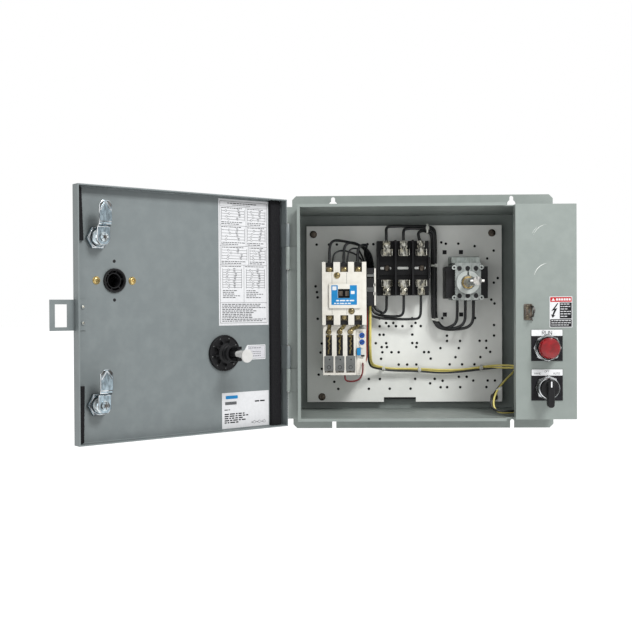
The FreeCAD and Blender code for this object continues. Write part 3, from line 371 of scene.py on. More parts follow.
def finished(name, mesh, place=Matrix()):
    """Turns a bmesh in millimetres into mesh data in metres, with its faces turned out."""
    data = bpy.data.meshes.new(name)
    bmesh.ops.recalc_face_normals(mesh, faces=mesh.faces)
    mesh.to_mesh(data)
    mesh.free()
    data.transform(place)
    data.transform(Matrix.Scale(MM, 4))
    return data


def add_object(name, data):
    thing = bpy.data.objects.new(name, data)
    SCENE.collection.objects.link(thing)
    return thing


def belongs(thing, body, stands_for):
    """Says what body a piece rides on and the nodes that it stands for."""
    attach(thing, body)
    if stands_for:
        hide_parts(*stands_for)
    return thing


def piece(name, mesh, material, body, bevel=0.0, smooth=38, stands_for=()):
    """Makes a bmesh a piece of the object; what rides on the door is drawn with the door shut."""
    data = finished(name, mesh, DOOR if body in ON_DOOR else Matrix())
    data.materials.append(material)
    data.polygons.foreach_set("use_smooth", [True] * len(data.polygons))
    data.set_sharp_from_angle(angle=math.radians(smooth))
    thing = add_object(name, data)
    if bevel:
        round_edges(thing, bevel, smooth)
    return belongs(thing, body, stands_for)


def bright_edges(thing, width, material):
    """Bevels a finished piece's edges and gives only the bevels another, brighter material: a painted
    highlight.
    """
    thing.data.materials.append(material)
    round_edges(thing, width, 28).material = len(thing.data.materials) - 1


def brick(mesh, low, high):
    """Adds a closed box."""
    verts = [mesh.verts.new([(low, high)[(i >> axis) & 1][axis] for axis in range(3)]) for i in range(8)]
    for face in ((0, 2, 3, 1), (4, 5, 7, 6), (0, 1, 5, 4), (2, 6, 7, 3), (0, 4, 6, 2), (1, 3, 7, 5)):
        mesh.faces.new([verts[i] for i in face])
    return verts


def across(axis):
    """Two directions square to an axis letter, and the axis itself."""
    return {"x": (Vector((0, 1, 0)), Vector((0, 0, 1)), Vector((1, 0, 0))),
            "y": (Vector((1, 0, 0)), Vector((0, 0, 1)), Vector((0, 1, 0))),
            "z": (Vector((1, 0, 0)), Vector((0, 1, 0)), Vector((0, 0, 1)))}[axis]


def join_rows(mesh, rows):
    """Faces between rows of vertices, each row closed on itself; a row of one vertex is a tip."""
    for low, high in zip(rows, rows[1:]):
        count = max(len(low), len(high))
        for step in range(count):
            after = (step + 1) % count
            corners = [row[index % len(row)] for row, index in
                       ((low, step), (low, after), (high, after), (high, step))]
            mesh.faces.new(list(dict.fromkeys(corners)))


def close_ends(mesh, rows):
    for row in (rows[0], rows[-1]):
        if len(row) > 1:
            mesh.faces.new(row)


def circles(mesh, centre, profile, axis, count, wobble):
    """A row of vertices round an axis for each (radius, distance along the axis) of a profile."""
    right, up, along = across(axis)
    rows = []
    for radius, reach in profile:
        start = Vector(centre) + along * reach
        row = []
        for step in range(count if radius else 1):
            turn = 2 * math.pi * step / count
            out = radius * (wobble(step, radius) if wobble else 1)
            row.append(mesh.verts.new(start + right * out * math.cos(turn) + up * out * math.sin(turn)))
        rows.append(row)
    return rows


def lathe(mesh, centre, profile, axis="y", count=40, wobble=None):
    """Turns a profile of (radius, distance along the axis) about a centre; the ends close."""
    rows = circles(mesh, centre, profile, axis, count, wobble)
    join_rows(mesh, rows)
    close_ends(mesh, rows)


def ring(mesh, centre, profile, axis="y", count=40, wobble=None):
    """Turns a closed profile, for a ring with a hole through it."""
    rows = circles(mesh, centre, profile, axis, count, wobble)
    join_rows(mesh, rows + rows[:1])


def spokes(mesh, at, low, high, angles):
    """A brick drawn beside or across an axis that faces the front, again at each angle in degrees."""
    for angle in angles:
        turn = Matrix.Rotation(math.radians(angle), 4, "Y")
        for vert in brick(mesh, low, high):
            vert.co = turn @ vert.co + at


def polygon(sides):
    """How far a regular polygon stands out at each of a circle's 48 steps, for lathe and ring."""
    def stand_out(step, _):
        turn = (step / 48 * sides) % 1 - 0.5
        return math.cos(math.pi / sides) / math.cos(2 * math.pi * turn / sides)
    return stand_out


def sheet_strip(mesh, outline, thick, low, high, axis="z"):
    """A strip bent to an outline of (a, b) points and drawn along an axis from low to high."""
    right, up, along = across(axis)
    rows = []
    for index, (a, b) in enumerate(outline):
        before = Vector(outline[max(index - 1, 0)])
        after = Vector(outline[min(index + 1, len(outline) - 1)])
        run = (after - before).normalized()
        side = Vector((-run.y, run.x)) * thick / 2
        left, far = (right * (a + s * side.x) + up * (b + s * side.y) for s in (-1, 1))
        rows.append([mesh.verts.new(place + along * reach) for place, reach in
                     ((left, low), (far, low), (far, high), (left, high))])
    join_rows(mesh, rows)
    close_ends(mesh, rows)


def slab(mesh, outline, back, front):
    """A flat piece facing the front: an outline of (x, z) points between two depths."""
    rows = [[mesh.verts.new((x, y, z)) for x, z in outline] for y in (back, front)]
    join_rows(mesh, rows)
    close_ends(mesh, rows)
    return rows[0] + rows[1]


def corners(x0, x1, z0, z1):
    return [(x0, z0), (x1, z0), (x1, z1), (x0, z1)]


def rounded(x0, x1, z0, z1, radius, steps=5):
    """A rectangle's outline with round corners."""
    points = []
    bends = ((x1 - radius, z1 - radius, 0), (x0 + radius, z1 - radius, 90),
               (x0 + radius, z0 + radius, 180), (x1 - radius, z0 + radius, 270))
    for cx, cz, start in bends:
        for step in range(steps + 1):
            turn = math.radians(start + 90 * step / steps)
            points.append((cx + radius * math.cos(turn), cz + radius * math.sin(turn)))
    return points


def slab_line(mesh, start, end, wide, back, front):
    """A straight raised or printed line between two (x, z) points."""
    run = Vector(end) - Vector(start)
    side = Vector((-run.y, run.x)).normalized() * wide / 2
    corners = [Vector(start) - side, Vector(end) - side, Vector(end) + side, Vector(start) + side]
    slab(mesh, [tuple(c) for c in corners], back, front)


def cut_away(thing, mesh):
    """Takes a closed bmesh in millimetres away from a piece, for good."""
    cutter = add_object("cutter", finished("cutter", mesh))
    modifier = thing.modifiers.new("Cut", "BOOLEAN")
    modifier.operation = "DIFFERENCE"
    modifier.solver = "EXACT"
    modifier.object = cutter
    bpy.context.view_layer.update()
    solid = bpy.data.meshes.new_from_object(thing.evaluated_get(bpy.context.evaluated_depsgraph_get()))
    thing.modifiers.remove(modifier)
    thing.data = solid
    bpy.data.objects.remove(cutter)


def wire(name, route, diameter, material, body, stands_for=()):
    """An insulated wire on one smooth line whose control points are the route, in millimetres."""
    curve = bpy.data.curves.new(name, "CURVE")
    curve.dimensions = "3D"
    spline = curve.splines.new("NURBS")
    spline.points.add(len(route) - 1)
    for point, place in zip(spline.points, route):
        point.co = (*[c * MM for c in place], 1)
    spline.order_u = 3
    spline.use_endpoint_u = True
    curve.resolution_u = 10
    curve.bevel_depth = diameter / 2 * MM
    curve.bevel_resolution = 5
    curve.use_fill_caps = True
    curve.materials.append(material)
    belongs(add_object(name, curve), body, stands_for)


# ------------------------------------------------------------------ screws


def screw_heads(name, places, radius, rise, material, body, cross=True, facing=-1, collar=0.0,
                stands_for=()):
    """Domed screw heads on seats at (x, y, z), facing the front (-1) or the back (1), each with a
    slot or a cross cut into it."""
    mesh = bmesh.new()
    high = rise * facing
    profile = [(0, 0), (radius, 0), (radius, 0.45 * high), (radius * 0.93, 0.7 * high),
               (radius * 0.72, 0.9 * high), (radius * 0.4, high), (0, 1.03 * high)]
    if collar:
        profile[1:2] = [(radius + collar, 0), (radius + collar, 0.25 * high), (radius, 0.28 * high)]
    for place in places:
        lathe(mesh, place, profile)
    thing = piece(name, mesh, material, body, stands_for=stands_for)
    cuts = bmesh.new()
    m, n = radius * (0.62 if cross else 1.2), radius * 0.13
    outline = [(-m, -n), (m, -n), (m, n), (-m, n)]
    if cross:
        outline[1:1] = [(-n, -n), (-n, -m), (n, -m), (n, -n)]
        outline[-1:-1] = [(n, n), (n, m), (-n, m), (-n, n)]
    for number, place in enumerate(places):
        turn = Matrix.Rotation(math.radians(25 + 47 * number), 4, "Y")
        turn = Matrix.Translation(Vector(place) + Vector((0, high * 1.05, 0))) @ turn
        for vert in slab(cuts, outline, -0.55 * rise, 0.55 * rise):
            vert.co = (DOOR if body in ON_DOOR else Matrix()) @ turn @ vert.co
    cut_away(thing, cuts)


# ------------------------------------------------------------------ box and door hardware


def dress_nodes():
    for material, names in FINISHES.items():
        for name in names:
            dress(name, material)
    for name in ("contactor_cover", "overload_housing", "trip_unit", "fuse_block_base", "disconnect_body",
                 "disconnect_side_blocks", "aux_contact_block", "disconnect_collar"):
        soften(name, 0.45)
    for name in ("padlock_hasp", "box_hinge_leaves", "door_hinge_leaves", "disconnect_bracket"):
        soften(name, 0.3)


def hinge_knuckles():
    """The domed pin ends that the plain barrels don't show."""
    pins = bmesh.new()
    for low, high in solids("hinge_pins"):
        x, y = (low.x + high.x) / 2, (low.y + high.y) / 2
        radius = (high.x - low.x) / 2
        for z, way in ((low.z, -1), (high.z, 1)):
            lathe(pins, (x, y, z), [(0, 0), (radius * 1.5, 0), (radius * 1.5, 0.5 * way), (radius, 1.2 * way),
                                    (0, 1.4 * way)], "z", 24)
    piece("hinge_pin_heads", pins, STEEL, "enclosure")


def cut_edges():
    """Bare folded hems: a thin bright line of weld at the corners of the rim."""
    low, high = box_of("enclosure_shell")
    mesh = bmesh.new()
    for z in (high.z - 2.4, low.z + 2.4):
        brick(mesh, (low.x + 15.2, low.y - 0.25, z - 0.5), (low.x + 21, low.y + 0.1, z + 0.5))
    piece("rim_corner_welds", mesh, PAINT, "enclosure", bevel=0.2)


def gaskets():
    """Foam strips stuck inside the door, a little uneven, the two on the free side narrowing from end to end.
    """
    rng = random.Random(4)
    low, high = box_of("hinge_side_gasket", shut=True)
    foam_strip("hinge_gasket_foam", low, high, 0.35, 0, rng, ("hinge_side_gasket",))
    lower, upper = solids("free_side_gaskets", shut=True)
    foam_strip("upper_gasket_foam", *upper, 0.4, 2.6, rng, ("free_side_gaskets",))
    foam_strip("lower_gasket_foam", *lower, 0.4, -1.2, rng)


def foam_strip(name, low, high, uneven, widen, rng, stands_for=()):
    """A strip whose inner edge slants by widen millimetres from end to end."""
    mesh = bmesh.new()
    steps = 60
    rows = []
    for share in (step / steps for step in range(steps + 1)):
        z = low.z + (high.z - low.z) * share
        x0 = low.x + (abs(widen) - widen * (1 - 2 * share)) / 2 * (1 if widen else 0)
        jut = [rng.uniform(-uneven, uneven) * 0.5 for _ in range(3)]
        x0 = max(x0 + jut[0], low.x)
        x1 = min(high.x + jut[1] * 0.3, high.x)
        y = high.y - abs(jut[2])
        soft = min(1.6, (high.y - low.y) * 0.4)
        section = [(x0, low.y), (x0, y - soft), (x0 + soft, y), ((x0 + x1) / 2, y - 0.15), (x1 - soft, y),
                   (x1, y - soft), (x1, low.y)]
        rows.append([mesh.verts.new((x, d, z)) for x, d in section])
    join_rows(mesh, rows)
    close_ends(mesh, rows)
    piece(name, mesh, FOAM, "door", smooth=50, stands_for=stands_for)


def latches():
    """Quarter-turn cam latches: a hex nut on a threaded barrel, and the cranked cam on its bolt."""
    nuts, threads = bmesh.new(), bmesh.new()
    cams = {"upper_latch": "upper_latch_cam", "lower_latch": "lower_latch_cam"}
    for housing, (body, cam) in zip(reversed(solids("latch_housings", shut=True)), cams.items()):
        at = axis_of(housing)
        inner, outer = housing[1].y, housing[0].y
        base = outer + 4.1
        lathe(nuts, at, [(0, base), (14.6, base), (15.6, base + 0.8), (15.6, base + 4.6), (14.2, base + 5.8),
                         (0, base + 5.8)], count=48, wobble=polygon(6))
        ring(nuts, at, [(9.95, base + 5.8), (12.6, base + 5.8), (13, base + 6.4), (12.4, base + 7),
                        (9.95, base + 7)],
             count=48)
        profile = [(0, outer), (13.5, outer), (13.5, outer + 1.6), (12.4, outer + 2.5), (9.6, outer + 2.5)]
        thread = base + 7.2
        while thread < inner - 1.6:
            profile += [(9.3, thread), (9.9, thread + 0.45), (9.9, thread + 0.6), (9.3, thread + 1.05)]
            thread += 1.25
        profile += [(9.3, inner - 0.9), (8.7, inner - 0.15), (6.1, inner - 0.15), (6.1, inner - 1),
                    (0, inner - 1)]
        lathe(threads, at, profile, count=48)
        latch_cam(body, cam, at, inner)
    rims = piece("latch_nuts", nuts, BLADE, "door", smooth=30, stands_for=("latch_housings",))
    # Chrome on the nuts' bevelled edges: a painted highlight.
    bright_edges(rims, 0.4, CHROME)
    piece("latch_barrels", threads, ZINC, "door", smooth=30)


def latch_cam(body, node, at, inner):
    low, high = box_of(node, shut=True)
    x, z = at.x, at.z
    wide = (high.x - low.x) / 2
    mesh = bmesh.new()
    hub = inner + 0.4
    tip = high.y
    up = high.z - z
    profile = [(hub + 0.8, z - 9.5), (hub + 0.8, z + 11), (hub + 1.6, z + 13.5), (tip - 1.7, z + 16),
               (tip - 0.8, z + 18.5), (tip - 0.8, z + up)]
    sheet_strip(mesh, profile, 1.6, x - wide, x + wide, "x")
    cam = piece(node + "_strip", mesh, BLADE, body, smooth=24, stands_for=(node,))
    wedges = bmesh.new()
    nib = 5.2
    for side in (-1, 1):
        edge = x + side * (wide + 1)
        for level, way in ((z + up, -1), (z - 9.5, 1)):
            prism = [(edge, level - way), (edge - side * (nib + 1), level - way),
                     (edge, level + way * (nib + 1))]
            slab(wedges, prism, inner - 4, tip + 4)
    for vert in wedges.verts:
        vert.co = DOOR @ vert.co
    cut_away(cam, wedges)
    # Chrome on the cam's bevelled edges: a painted highlight.
    bright_edges(cam, 0.55, CHROME)
    bolt = bmesh.new()
    washer = hub + 1.7
    teeth = 24
    lathe(bolt, at, [(0, washer - 1.2), (6.6, washer - 1.2), (6.6, washer - 0.2), (6.2, washer + 0.1),
                     (0, washer + 0.1)],
          count=2 * teeth, wobble=lambda step, radius: 1 if radius < 6 or step % 2 else 0.93)
    lathe(bolt, at, [(0, washer), (5.4, washer), (5.7, washer + 0.5), (5.7, washer + 2.6),
                     (5.0, washer + 3.2),
                     (0, washer + 3.2)], count=48, wobble=polygon(6))
    piece(node + "_bolt", bolt, ZINC, body, smooth=30)
    # The bolt's drive recess is drawn as a dark iron disc and cross on its end: painted shade.
    socket = bmesh.new()
    lathe(socket, at, [(0, washer + 3.1), (2.4, washer + 3.1), (2.2, washer + 3.45), (0, washer + 3.5)],
          count=20)
    spokes(socket, at, (-4.6, washer + 3.15, -0.4), (4.6, washer + 3.4, 0.4), (30, 90, 150))
    piece(node + "_bolt_recess_shade", socket, IRON, body, smooth=30)
    # Chrome lines on the cam's pressed ribs are painted highlights; dark iron patches where its corners are
    # dented are painted shade.
    marks, dark = bmesh.new(), bmesh.new()
    face = tip + 0.02
    for side in (-1, 1):
        slab_line(marks, (x + side * 0.3, z + up - 2), (x + side * (wide - 1.4), z + up - 12.5), 1.1,
                  face - 0.12,
                  face + 0.16)
        slab(dark, [(x + side * 1.4, z + up - 1.2), (x + side * (wide - 4.2), z + up - 1.2),
                    (x + side * (wide - 1), z + up - 5), (x + side * (wide - 1), z + up - 9.6)], face - 0.12,
             face + 0.06)
    slab_line(marks, (x - wide + 0.8, z + 18.8), (x + wide - 0.8, z + 18.8), 1.2, face - 0.12, face + 0.12)
    piece(node + "_pressing_highlights", marks, CHROME, body)
    piece(node + "_dent_shade", dark, IRON, body)


def handle_back():
    """What shows of the rotary handle through the door: a boss with ribs round the drive socket."""
    escutcheon = box_of("handle_escutcheon", shut=True)
    at, rear = axis_of(escutcheon), escutcheon[1].y
    collar = bmesh.new()
    ring(collar, at, [(13.5, rear - 3), (15.25, rear - 3), (15.25, rear + 0.1), (14.9, rear + 0.5),
                      (13.9, rear + 0.5), (13.5, rear + 0.1)], count=64)
    piece("handle_collar_rim", collar, BLACK, "door")
    inside = bmesh.new()
    ring(inside, at, [(8.6, rear - 9), (9.8, rear - 9), (9.8, rear - 3.4), (9.5, rear - 3), (8.9, rear - 3),
                      (8.6, rear - 3.4)], count=48)
    spokes(inside, at, (9.6, rear - 9.5, -0.6), (12.7, rear - 4, 0.6), range(12, 372, 60))
    ring(inside, at, [(10.6, rear - 22), (12.7, rear - 22), (12.7, rear - 14), (12.2, rear - 13.4),
                      (10.6, rear - 13.4)], count=40)
    piece("handle_drive_boss", inside, SOOT, "door_handle")
    screws = seats(solids("escutcheon_screws", shut=True), 2.4, 1)
    screw_heads("escutcheon_screw_heads", screws, 4.2, 2.3, BRASS, "door", facing=1,
                collar=0.9, stands_for=("escutcheon_screws",))


def spare_holes():
    """Dark plugs in the two unused holes and the two rivets of the hasp."""
    centre = middle(box_of("handle_escutcheon", shut=True))
    back = box_of("door_labels", shut=True)[0].y
    rivets = bmesh.new()
    hasp = box_of("padlock_hasp", shut=True)
    for z in (-10, 10):
        at = (hasp[0].x + 4.4, 0, z)
        lathe(rivets, at, [(0, back + 1.5), (2.7, back + 1.5), (2.4, back + 2.4), (1.2, back + 3),
                           (0, back + 3.1)],
              count=24)
    piece("hasp_rivets", rivets, TINNED, "door")
    tips = bmesh.new()
    for z in (-24.5, 24.5):
        lathe(tips, (centre.x, 0, centre.z + z), [(0, back - 1.2), (2.15, back - 1.2), (2.15, back - 0.3),
                                                 (1.6, back - 0.1), (0, back - 0.1)], count=24)
    piece("spare_hole_plugs", tips, BLACK, "door")


def reset_button_back():
    """The ribbed nut, short hub and two prongs of the reset operator, and its tag on a white rod."""
    low, high = box_of("reset_guide", shut=True)
    at = axis_of((low, high))
    skin = box_of("door_labels", shut=True)[0].y
    radius = (high.x - low.x) / 2
    mesh = bmesh.new()
    teeth = 40
    lathe(mesh, at, [(0, skin), (radius - 0.6, skin), (radius, skin + 0.8), (radius, skin + 3),
                     (radius - 0.8, skin + 4), (radius - 2, skin + 4.1), (radius - 2.6, skin + 3.2),
                     (12.6, skin + 3), (0, skin + 3)],
          count=2 * teeth, wobble=lambda step, r: 0.965 if r > radius - 0.1 and step % 2 else 1)
    ninths = range(12, 372, 40)
    spokes(mesh, at, (9, skin + 2, -0.9), (radius - 7, skin + 8.4, 0.9), ninths)
    lathe(mesh, at, [(0, skin + 2), (14.2, skin + 2), (13.8, skin + 9.6), (12.4, skin + 11.2),
                     (11.6, skin + 12),
                     (10.6, skin + 12.2), (10.6, skin + 14.4), (11, skin + 14.8), (11, skin + 15.4),
                     (10.4, skin + 15.8), (10.4, skin + 17.6), (11, skin + 18), (11, skin + 22.8),
                     (10.4, skin + 23.6),
                     (8.6, skin + 23.8), (8.2, skin + 20), (5.6, skin + 20), (5.4, skin + 33),
                     (4.6, skin + 34),
                     (0, skin + 34)], count=56)
    for side in (-1, 1):
        z = at.z + side * 7.2
        brick(mesh, (at.x - 3.4, skin + 20, z - 1.6), (at.x + 3.4, high.y - 0.6, z + 1.6))
        brick(mesh, (at.x - 3.4, high.y - 3, z - 2 + 0.6 * side), (at.x + 3.4, high.y, z + 2 + 0.6 * side))
        brick(mesh, (at.x - 0.7, skin + 20, z - 2.4), (at.x + 0.7, high.y - 5, z + 2.4))
    piece("reset_operator_back", mesh, BLACK, "door", smooth=32,
          stands_for=("reset_guide",))
    pips = bmesh.new()
    spokes(pips, at, (radius - 4.8, skin + 2.9, -0.6), (radius - 3.6, skin + 3.8, 0.6), ninths)
    piece("reset_operator_pips", pips, PALE, "door", bevel=0.1)
    front = bmesh.new()
    outer = low.y
    lathe(front, at, [(0, skin - 1.6), (13.6, skin - 1.6), (13.9, outer + 1), (13, outer), (11.6, outer),
                      (11.4, outer + 1.6), (0, outer + 1.6)], count=56)
    piece("reset_operator_front", front, CHROME, "door")
    reset_tag(at)


def reset_tag(at):
    """The push rod with its round end, and the lettered card on it with a framed edge."""
    low, high = box_of("reset_plunger", shut=True)
    mesh = bmesh.new()
    lathe(mesh, at, [(0, low.y), (10.6, low.y), (11, low.y + 0.4), (11, low.y + 2), (10.4, low.y + 2.4),
                     (5, low.y + 2.5),
                     (4.95, high.y - 31), (4.4, high.y - 29), (4.4, high.y - 8), (6, high.y - 2.6),
                     (0, high.y - 2.6)],
          count=40)
    disc = Vector((at.x + 4, 0, at.z - 1.8))
    lathe(mesh, disc, [(0, high.y - 2.5), (8.5, high.y - 2.5), (8.8, high.y - 2.2), (8.8, high.y - 0.5),
                       (8.4, high.y - 0.1),
                       (0, high.y - 0.05)], count=48)
    piece("reset_push_rod", mesh, IVORY, "reset_plunger", stands_for=("reset_plunger",))
    x0, x1, z0, z1 = low.x, at.x + 6, at.z - 6.6, at.z + 12.6
    card = bmesh.new()
    outline = [(x0 + 0.5, z0), (x1 - 3, z0), (x1 + 2.4, z0 + 8), (x1 + 2.4, z1 - 7.6), (x1 - 2.6, z1),
               (x0 + 0.5, z1),
               (x0, z1 - 0.5), (x0, z0 + 0.5)]
    slab(card, outline, high.y - 2.3, high.y - 0.5)
    piece("reset_card", card, PAPER, "reset_plunger", bevel=0.25)
    sheet = Print(high.y - 0.55, 1)
    sheet.area(x0 + 1.4, x1 - 3.4, z0 + 1.6, z1 - 1.6, TAG, 0.4)
    sheet.outline(corners(x0 + 1.4, x1 - 3.4, z0 + 1.4, z1 - 1.4), 0.45, FAINT)
    rng = random.Random(29)
    for z, tall in ((z1 - 4, 0.9), (z1 - 9, 0.7), (z1 - 11.4, 0.7), (z0 + 4.6, 0.8)):
        sheet.words(x0 + 3, x1 - 5, z, tall, rng, FAINT, 0.8, 1)
    sheet.pieces("reset_card_print", "reset_plunger")


# ------------------------------------------------------------------ printed labels


class Print:
    """Ink on a flat label: thin marks on the plane y, collected by colour."""

    def __init__(self, y, facing=-1):
        self.y, self.facing = y, facing
        self.inks = {}

    def ink(self, material):
        if material not in self.inks:
            self.inks[material] = bmesh.new()
        return self.inks[material]

    def top(self, level):
        return self.y + self.facing * (0.06 + 0.03 * level)

    def area(self, x0, x1, z0, z1, material=None, radius=0.0, level=0):
        outline = rounded(x0, x1, z0, z1, radius) if radius else corners(x0, x1, z0, z1)
        slab(self.ink(material or INK), outline, self.y + self.facing * 0.02 * level, self.top(level))

    def line(self, start, end, wide=0.35, material=None, level=0):
        slab_line(self.ink(material or INK), start, end, wide, self.y, self.top(level))

    def outline(self, points, wide, material=None):
        for start, end in zip(points, points[1:] + points[:1]):
            self.line(start, end, wide, material)

    def hoop(self, x, z, radius, wide):
        turns = (2 * math.pi * step / 14 for step in range(14))
        self.outline([(x + radius * math.cos(turn), z + radius * math.sin(turn)) for turn in turns], wide)

    def words(self, x0, x1, z, tall, rng, material=None, fill=0.85, level=0):
        """A line of blank bars, as long as words are, that spells nothing."""
        x = x0
        while x < x0 + (x1 - x0) * fill:
            long = rng.uniform(1.6, 5.2) * tall
            start, stop = x, min(x + long, x1)
            if self.facing > 0:
                start, stop = x0 + x1 - stop, x0 + x1 - start
            self.area(start, stop, z - tall / 2, z + tall / 2, material, level=level)
            x += long + tall * 0.9

    def pieces(self, name, body):
        for number, (material, mesh) in enumerate(self.inks.items()):
            piece(f"{name}_{number}", mesh, material, body)


def ladder(sheet, x0, x1, z0, z1, rungs, rng):
    """A small wiring diagram: two rails, and rungs with contacts, coils and terminals."""
    sheet.line((x0, z0), (x0, z1), 0.45)
    sheet.line((x1, z0), (x1, z1), 0.45)
    for rung in range(rungs):
        z = z1 - (rung + 0.6) * (z1 - z0) / rungs
        a = x0 + (x1 - x0) * rng.uniform(0.2, 0.4)
        b = x0 + (x1 - x0) * rng.uniform(0.62, 0.82)
        for start, end in ((x0, a - 0.7), (a + 0.7, b - 1.3), (b + 1.3, x1)):
            sheet.line((start, z), (end, z), 0.42)
        for side in (-0.7, 0.7):
            sheet.line((a + side, z - 1.3), (a + side, z + 1.3), 0.45)
        if rng.random() < 0.5:
            sheet.line((a - 1.2, z - 1), (a + 1.2, z + 1), 0.25)
        sheet.hoop(b, z, 1.4, 0.42)
        sheet.area(a - 1.6, a + 2.2, z + 1.7, z + 2.5, FAINT)


def wiring_diagram():
    """The sheet inside the door, ruled into cells of diagrams and blank text."""
    rng = random.Random(11)
    label = solids("door_labels", shut=True)[-1]
    low, high = label
    sheet = Print(high.y, 1)
    x0, x1, z0, z1 = low.x + 2.4, high.x - 2.4, low.z + 3.4, high.z - 3
    sheet.outline(corners(x0, x1, z0, z1), 0.45)
    sheet.words(x0 + 14, x1 - 12, z1 - 2.6, 1.1, rng)
    sheet.words(x0 + 22, x1 - 20, z1 - 5, 0.8, rng, FAINT)
    top = z1 - 7.2
    sheet.line((x0, top), (x1, top), 0.4)
    wide = x1 - x0
    rows = ((0.0, 0.45, 1.0), (0.0, 0.45, 1.0), (0.0, 0.4, 1.0), (0.0, 0.5, 1.0))
    heights = (26, 28, 26, 52)
    for spans, tall in zip(rows, heights):
        for start, end in zip(spans, spans[1:]):
            a, b = x0 + wide * start, x0 + wide * end
            sheet.line((b, top), (b, top - tall), 0.35)
            sheet.words(a + 2, b - 2, top - 2, 0.9, rng)
            if tall > 40:
                ladder(sheet, a + 4, b - 4, top - tall * 0.62, top - 5, 8, rng)
                for line in range(5):
                    sheet.words(a + 3, b - 4, top - tall * 0.68 - 2.4 * line, 1.1, rng, FAINT,
                                rng.uniform(0.5, 1))
            else:
                ladder(sheet, a + 2.6, b - 2.6, top - tall + 7, top - 3.6, 4, rng)
                sheet.words(a + 2, b - 2, top - tall + 4.6, 1.1, rng, FAINT, 0.9)
                sheet.words(a + 2, b - 2, top - tall + 2.2, 1.1, rng, FAINT, 0.7)
        top -= tall
        sheet.line((x0, top), (x1, top), 0.4)
    while top > z0 + 4:
        top -= 2.3
        sheet.words(x0 + 2, x1 - 3, top, 1.2, rng, FAINT, rng.uniform(0.6, 1))
    sheet.pieces("wiring_diagram_print", "door")


def rating_label():
    """The rating sheet at the bottom of the door, with blank lines in place of its words."""
    rng = random.Random(5)
    low, high = solids("door_labels", shut=True)[0]
    sheet = Print(high.y, 1)
    sheet.area(high.x - 26, high.x - 6, high.z - 8.6, high.z - 4, BLUE, 1.2)
    sheet.area(high.x - 24, high.x - 5, high.z - 16.6, high.z - 12.4, FAINT, 0.5)
    sheet.words(low.x + 7, low.x + 24, high.z - 14, 1.9, rng)
    sheet.words(high.x - 13, high.x - 4, high.z - 23.4, 1.2, rng)
    for line, reach in enumerate((0.42, 0.5, 0.38, 0.46, 0.3)):
        z = high.z - 29.4 - 2.9 * line
        x0 = high.x - 4 - (high.x - low.x) * reach
        sheet.words(x0, high.x - 4, z, 1.7, rng, INK, 0.95)
    for column in range(3):
        x = low.x + 6 + 8.5 * column
        sheet.hoop(x + 2, low.z + 6, 1.9, 0.4)
        sheet.area(x + 4.6, x + 7, low.z + 5.2, low.z + 6.6, FAINT)
    sheet.pieces("rating_label_print", "door")


def warning_print():
    """A generic danger sign: a red band, a bolt on white, and black areas of blank lines."""
    rng = random.Random(3)
    low, high = box_of("warning_label")
    sheet = Print(low.y)
    x0, x1, z0, z1 = low.x + 0.8, high.x - 0.8, low.z + 0.8, high.z - 0.8
    band = z1 - 6.8
    sheet.area(x0, x1, band, z1, SCARLET, 0.8)
    for step in range(6):
        x = x0 + 8.2 + step * 3.5
        sheet.area(x, x + 2.6, band + 2, band + 4.9, PAPER, level=1)
    triangle = [(x0 + 2, band + 1.6), (x0 + 6.6, band + 1.6), (x0 + 4.3, band + 5.6)]
    slab(sheet.ink(PAPER), triangle, sheet.y, sheet.y - 0.09)
    split = x0 + 12.6
    sheet.area(split + 0.6, x1, z0 + 11.4, band - 0.8, INK, 0.4)
    sheet.area(x0, x1, z0, z0 + 10.6, INK, 0.4)
    for line in range(6):
        sheet.words(split + 1.8, x1 - 1.2, band - 3 - 3.4 * line, 1, rng, PAPER, rng.uniform(0.6, 0.95), 1)
    for line in range(3):
        sheet.words(x0 + 1.6, x1 - 1.4, z0 + 8.6 - 3 * line, 0.9, rng, PAPER, 0.9, 1)
    cx, cz = (x0 + split) / 2 - 0.4, band - 11.4
    bolt = [(cx + 3.4, cz + 9.4), (cx - 3.8, cz - 1.2), (cx - 0.3, cz + 0.2), (cx - 2.6, cz - 6.2),
            (cx - 4.1, cz - 5.4),
            (cx - 2.4, cz - 10.4), (cx + 1.0, cz - 6.8), (cx - 0.8, cz - 6.6), (cx + 3.6, cz + 3),
            (cx + 0.4, cz + 1.8),
            (cx + 4.6, cz + 9)]
    bolt = [(cx + (x - cx) * 1.16, cz + (z - cz) * 1.04) for x, z in bolt]
    slab(sheet.ink(INK), bolt, sheet.y, sheet.y - 0.08)
    sheet.pieces("warning_label_print", "enclosure")


STROKES = {
    "R": ((0, 0, 0, 6), (0, 6, 3, 6), (3, 6, 4, 4.5), (4, 4.5, 3, 3), (3, 3, 0, 3), (1.6, 3, 4, 0)),
    "U": ((0, 6, 0, 1), (0, 1, 1, 0), (1, 0, 3, 0), (3, 0, 4, 1), (4, 1, 4, 6)),
    "N": ((0, 0, 0, 6), (0, 6, 4, 0), (4, 0, 4, 6)),
    "H": ((0, 0, 0, 6), (4, 0, 4, 6), (0, 3, 4, 3)),
    "A": ((0, 0, 2, 6), (2, 6, 4, 0), (0.8, 2.2, 3.2, 2.2)),
    "D": ((0, 0, 0, 6), (0, 6, 2.6, 6), (2.6, 6, 4, 4.4), (4, 4.4, 4, 1.6), (4, 1.6, 2.6, 0), (2.6, 0, 0, 0)),
    "O": ((0, 1, 0, 5), (0, 5, 1, 6), (1, 6, 3, 6), (3, 6, 4, 5), (4, 5, 4, 1), (4, 1, 3, 0), (3, 0, 1, 0),
          (1, 0, 0, 1)),
    "F": ((0, 0, 0, 6), (0, 6, 4, 6), (0, 3.2, 3, 3.2)),
    "T": ((0, 6, 4, 6), (2, 0, 2, 6)),
}


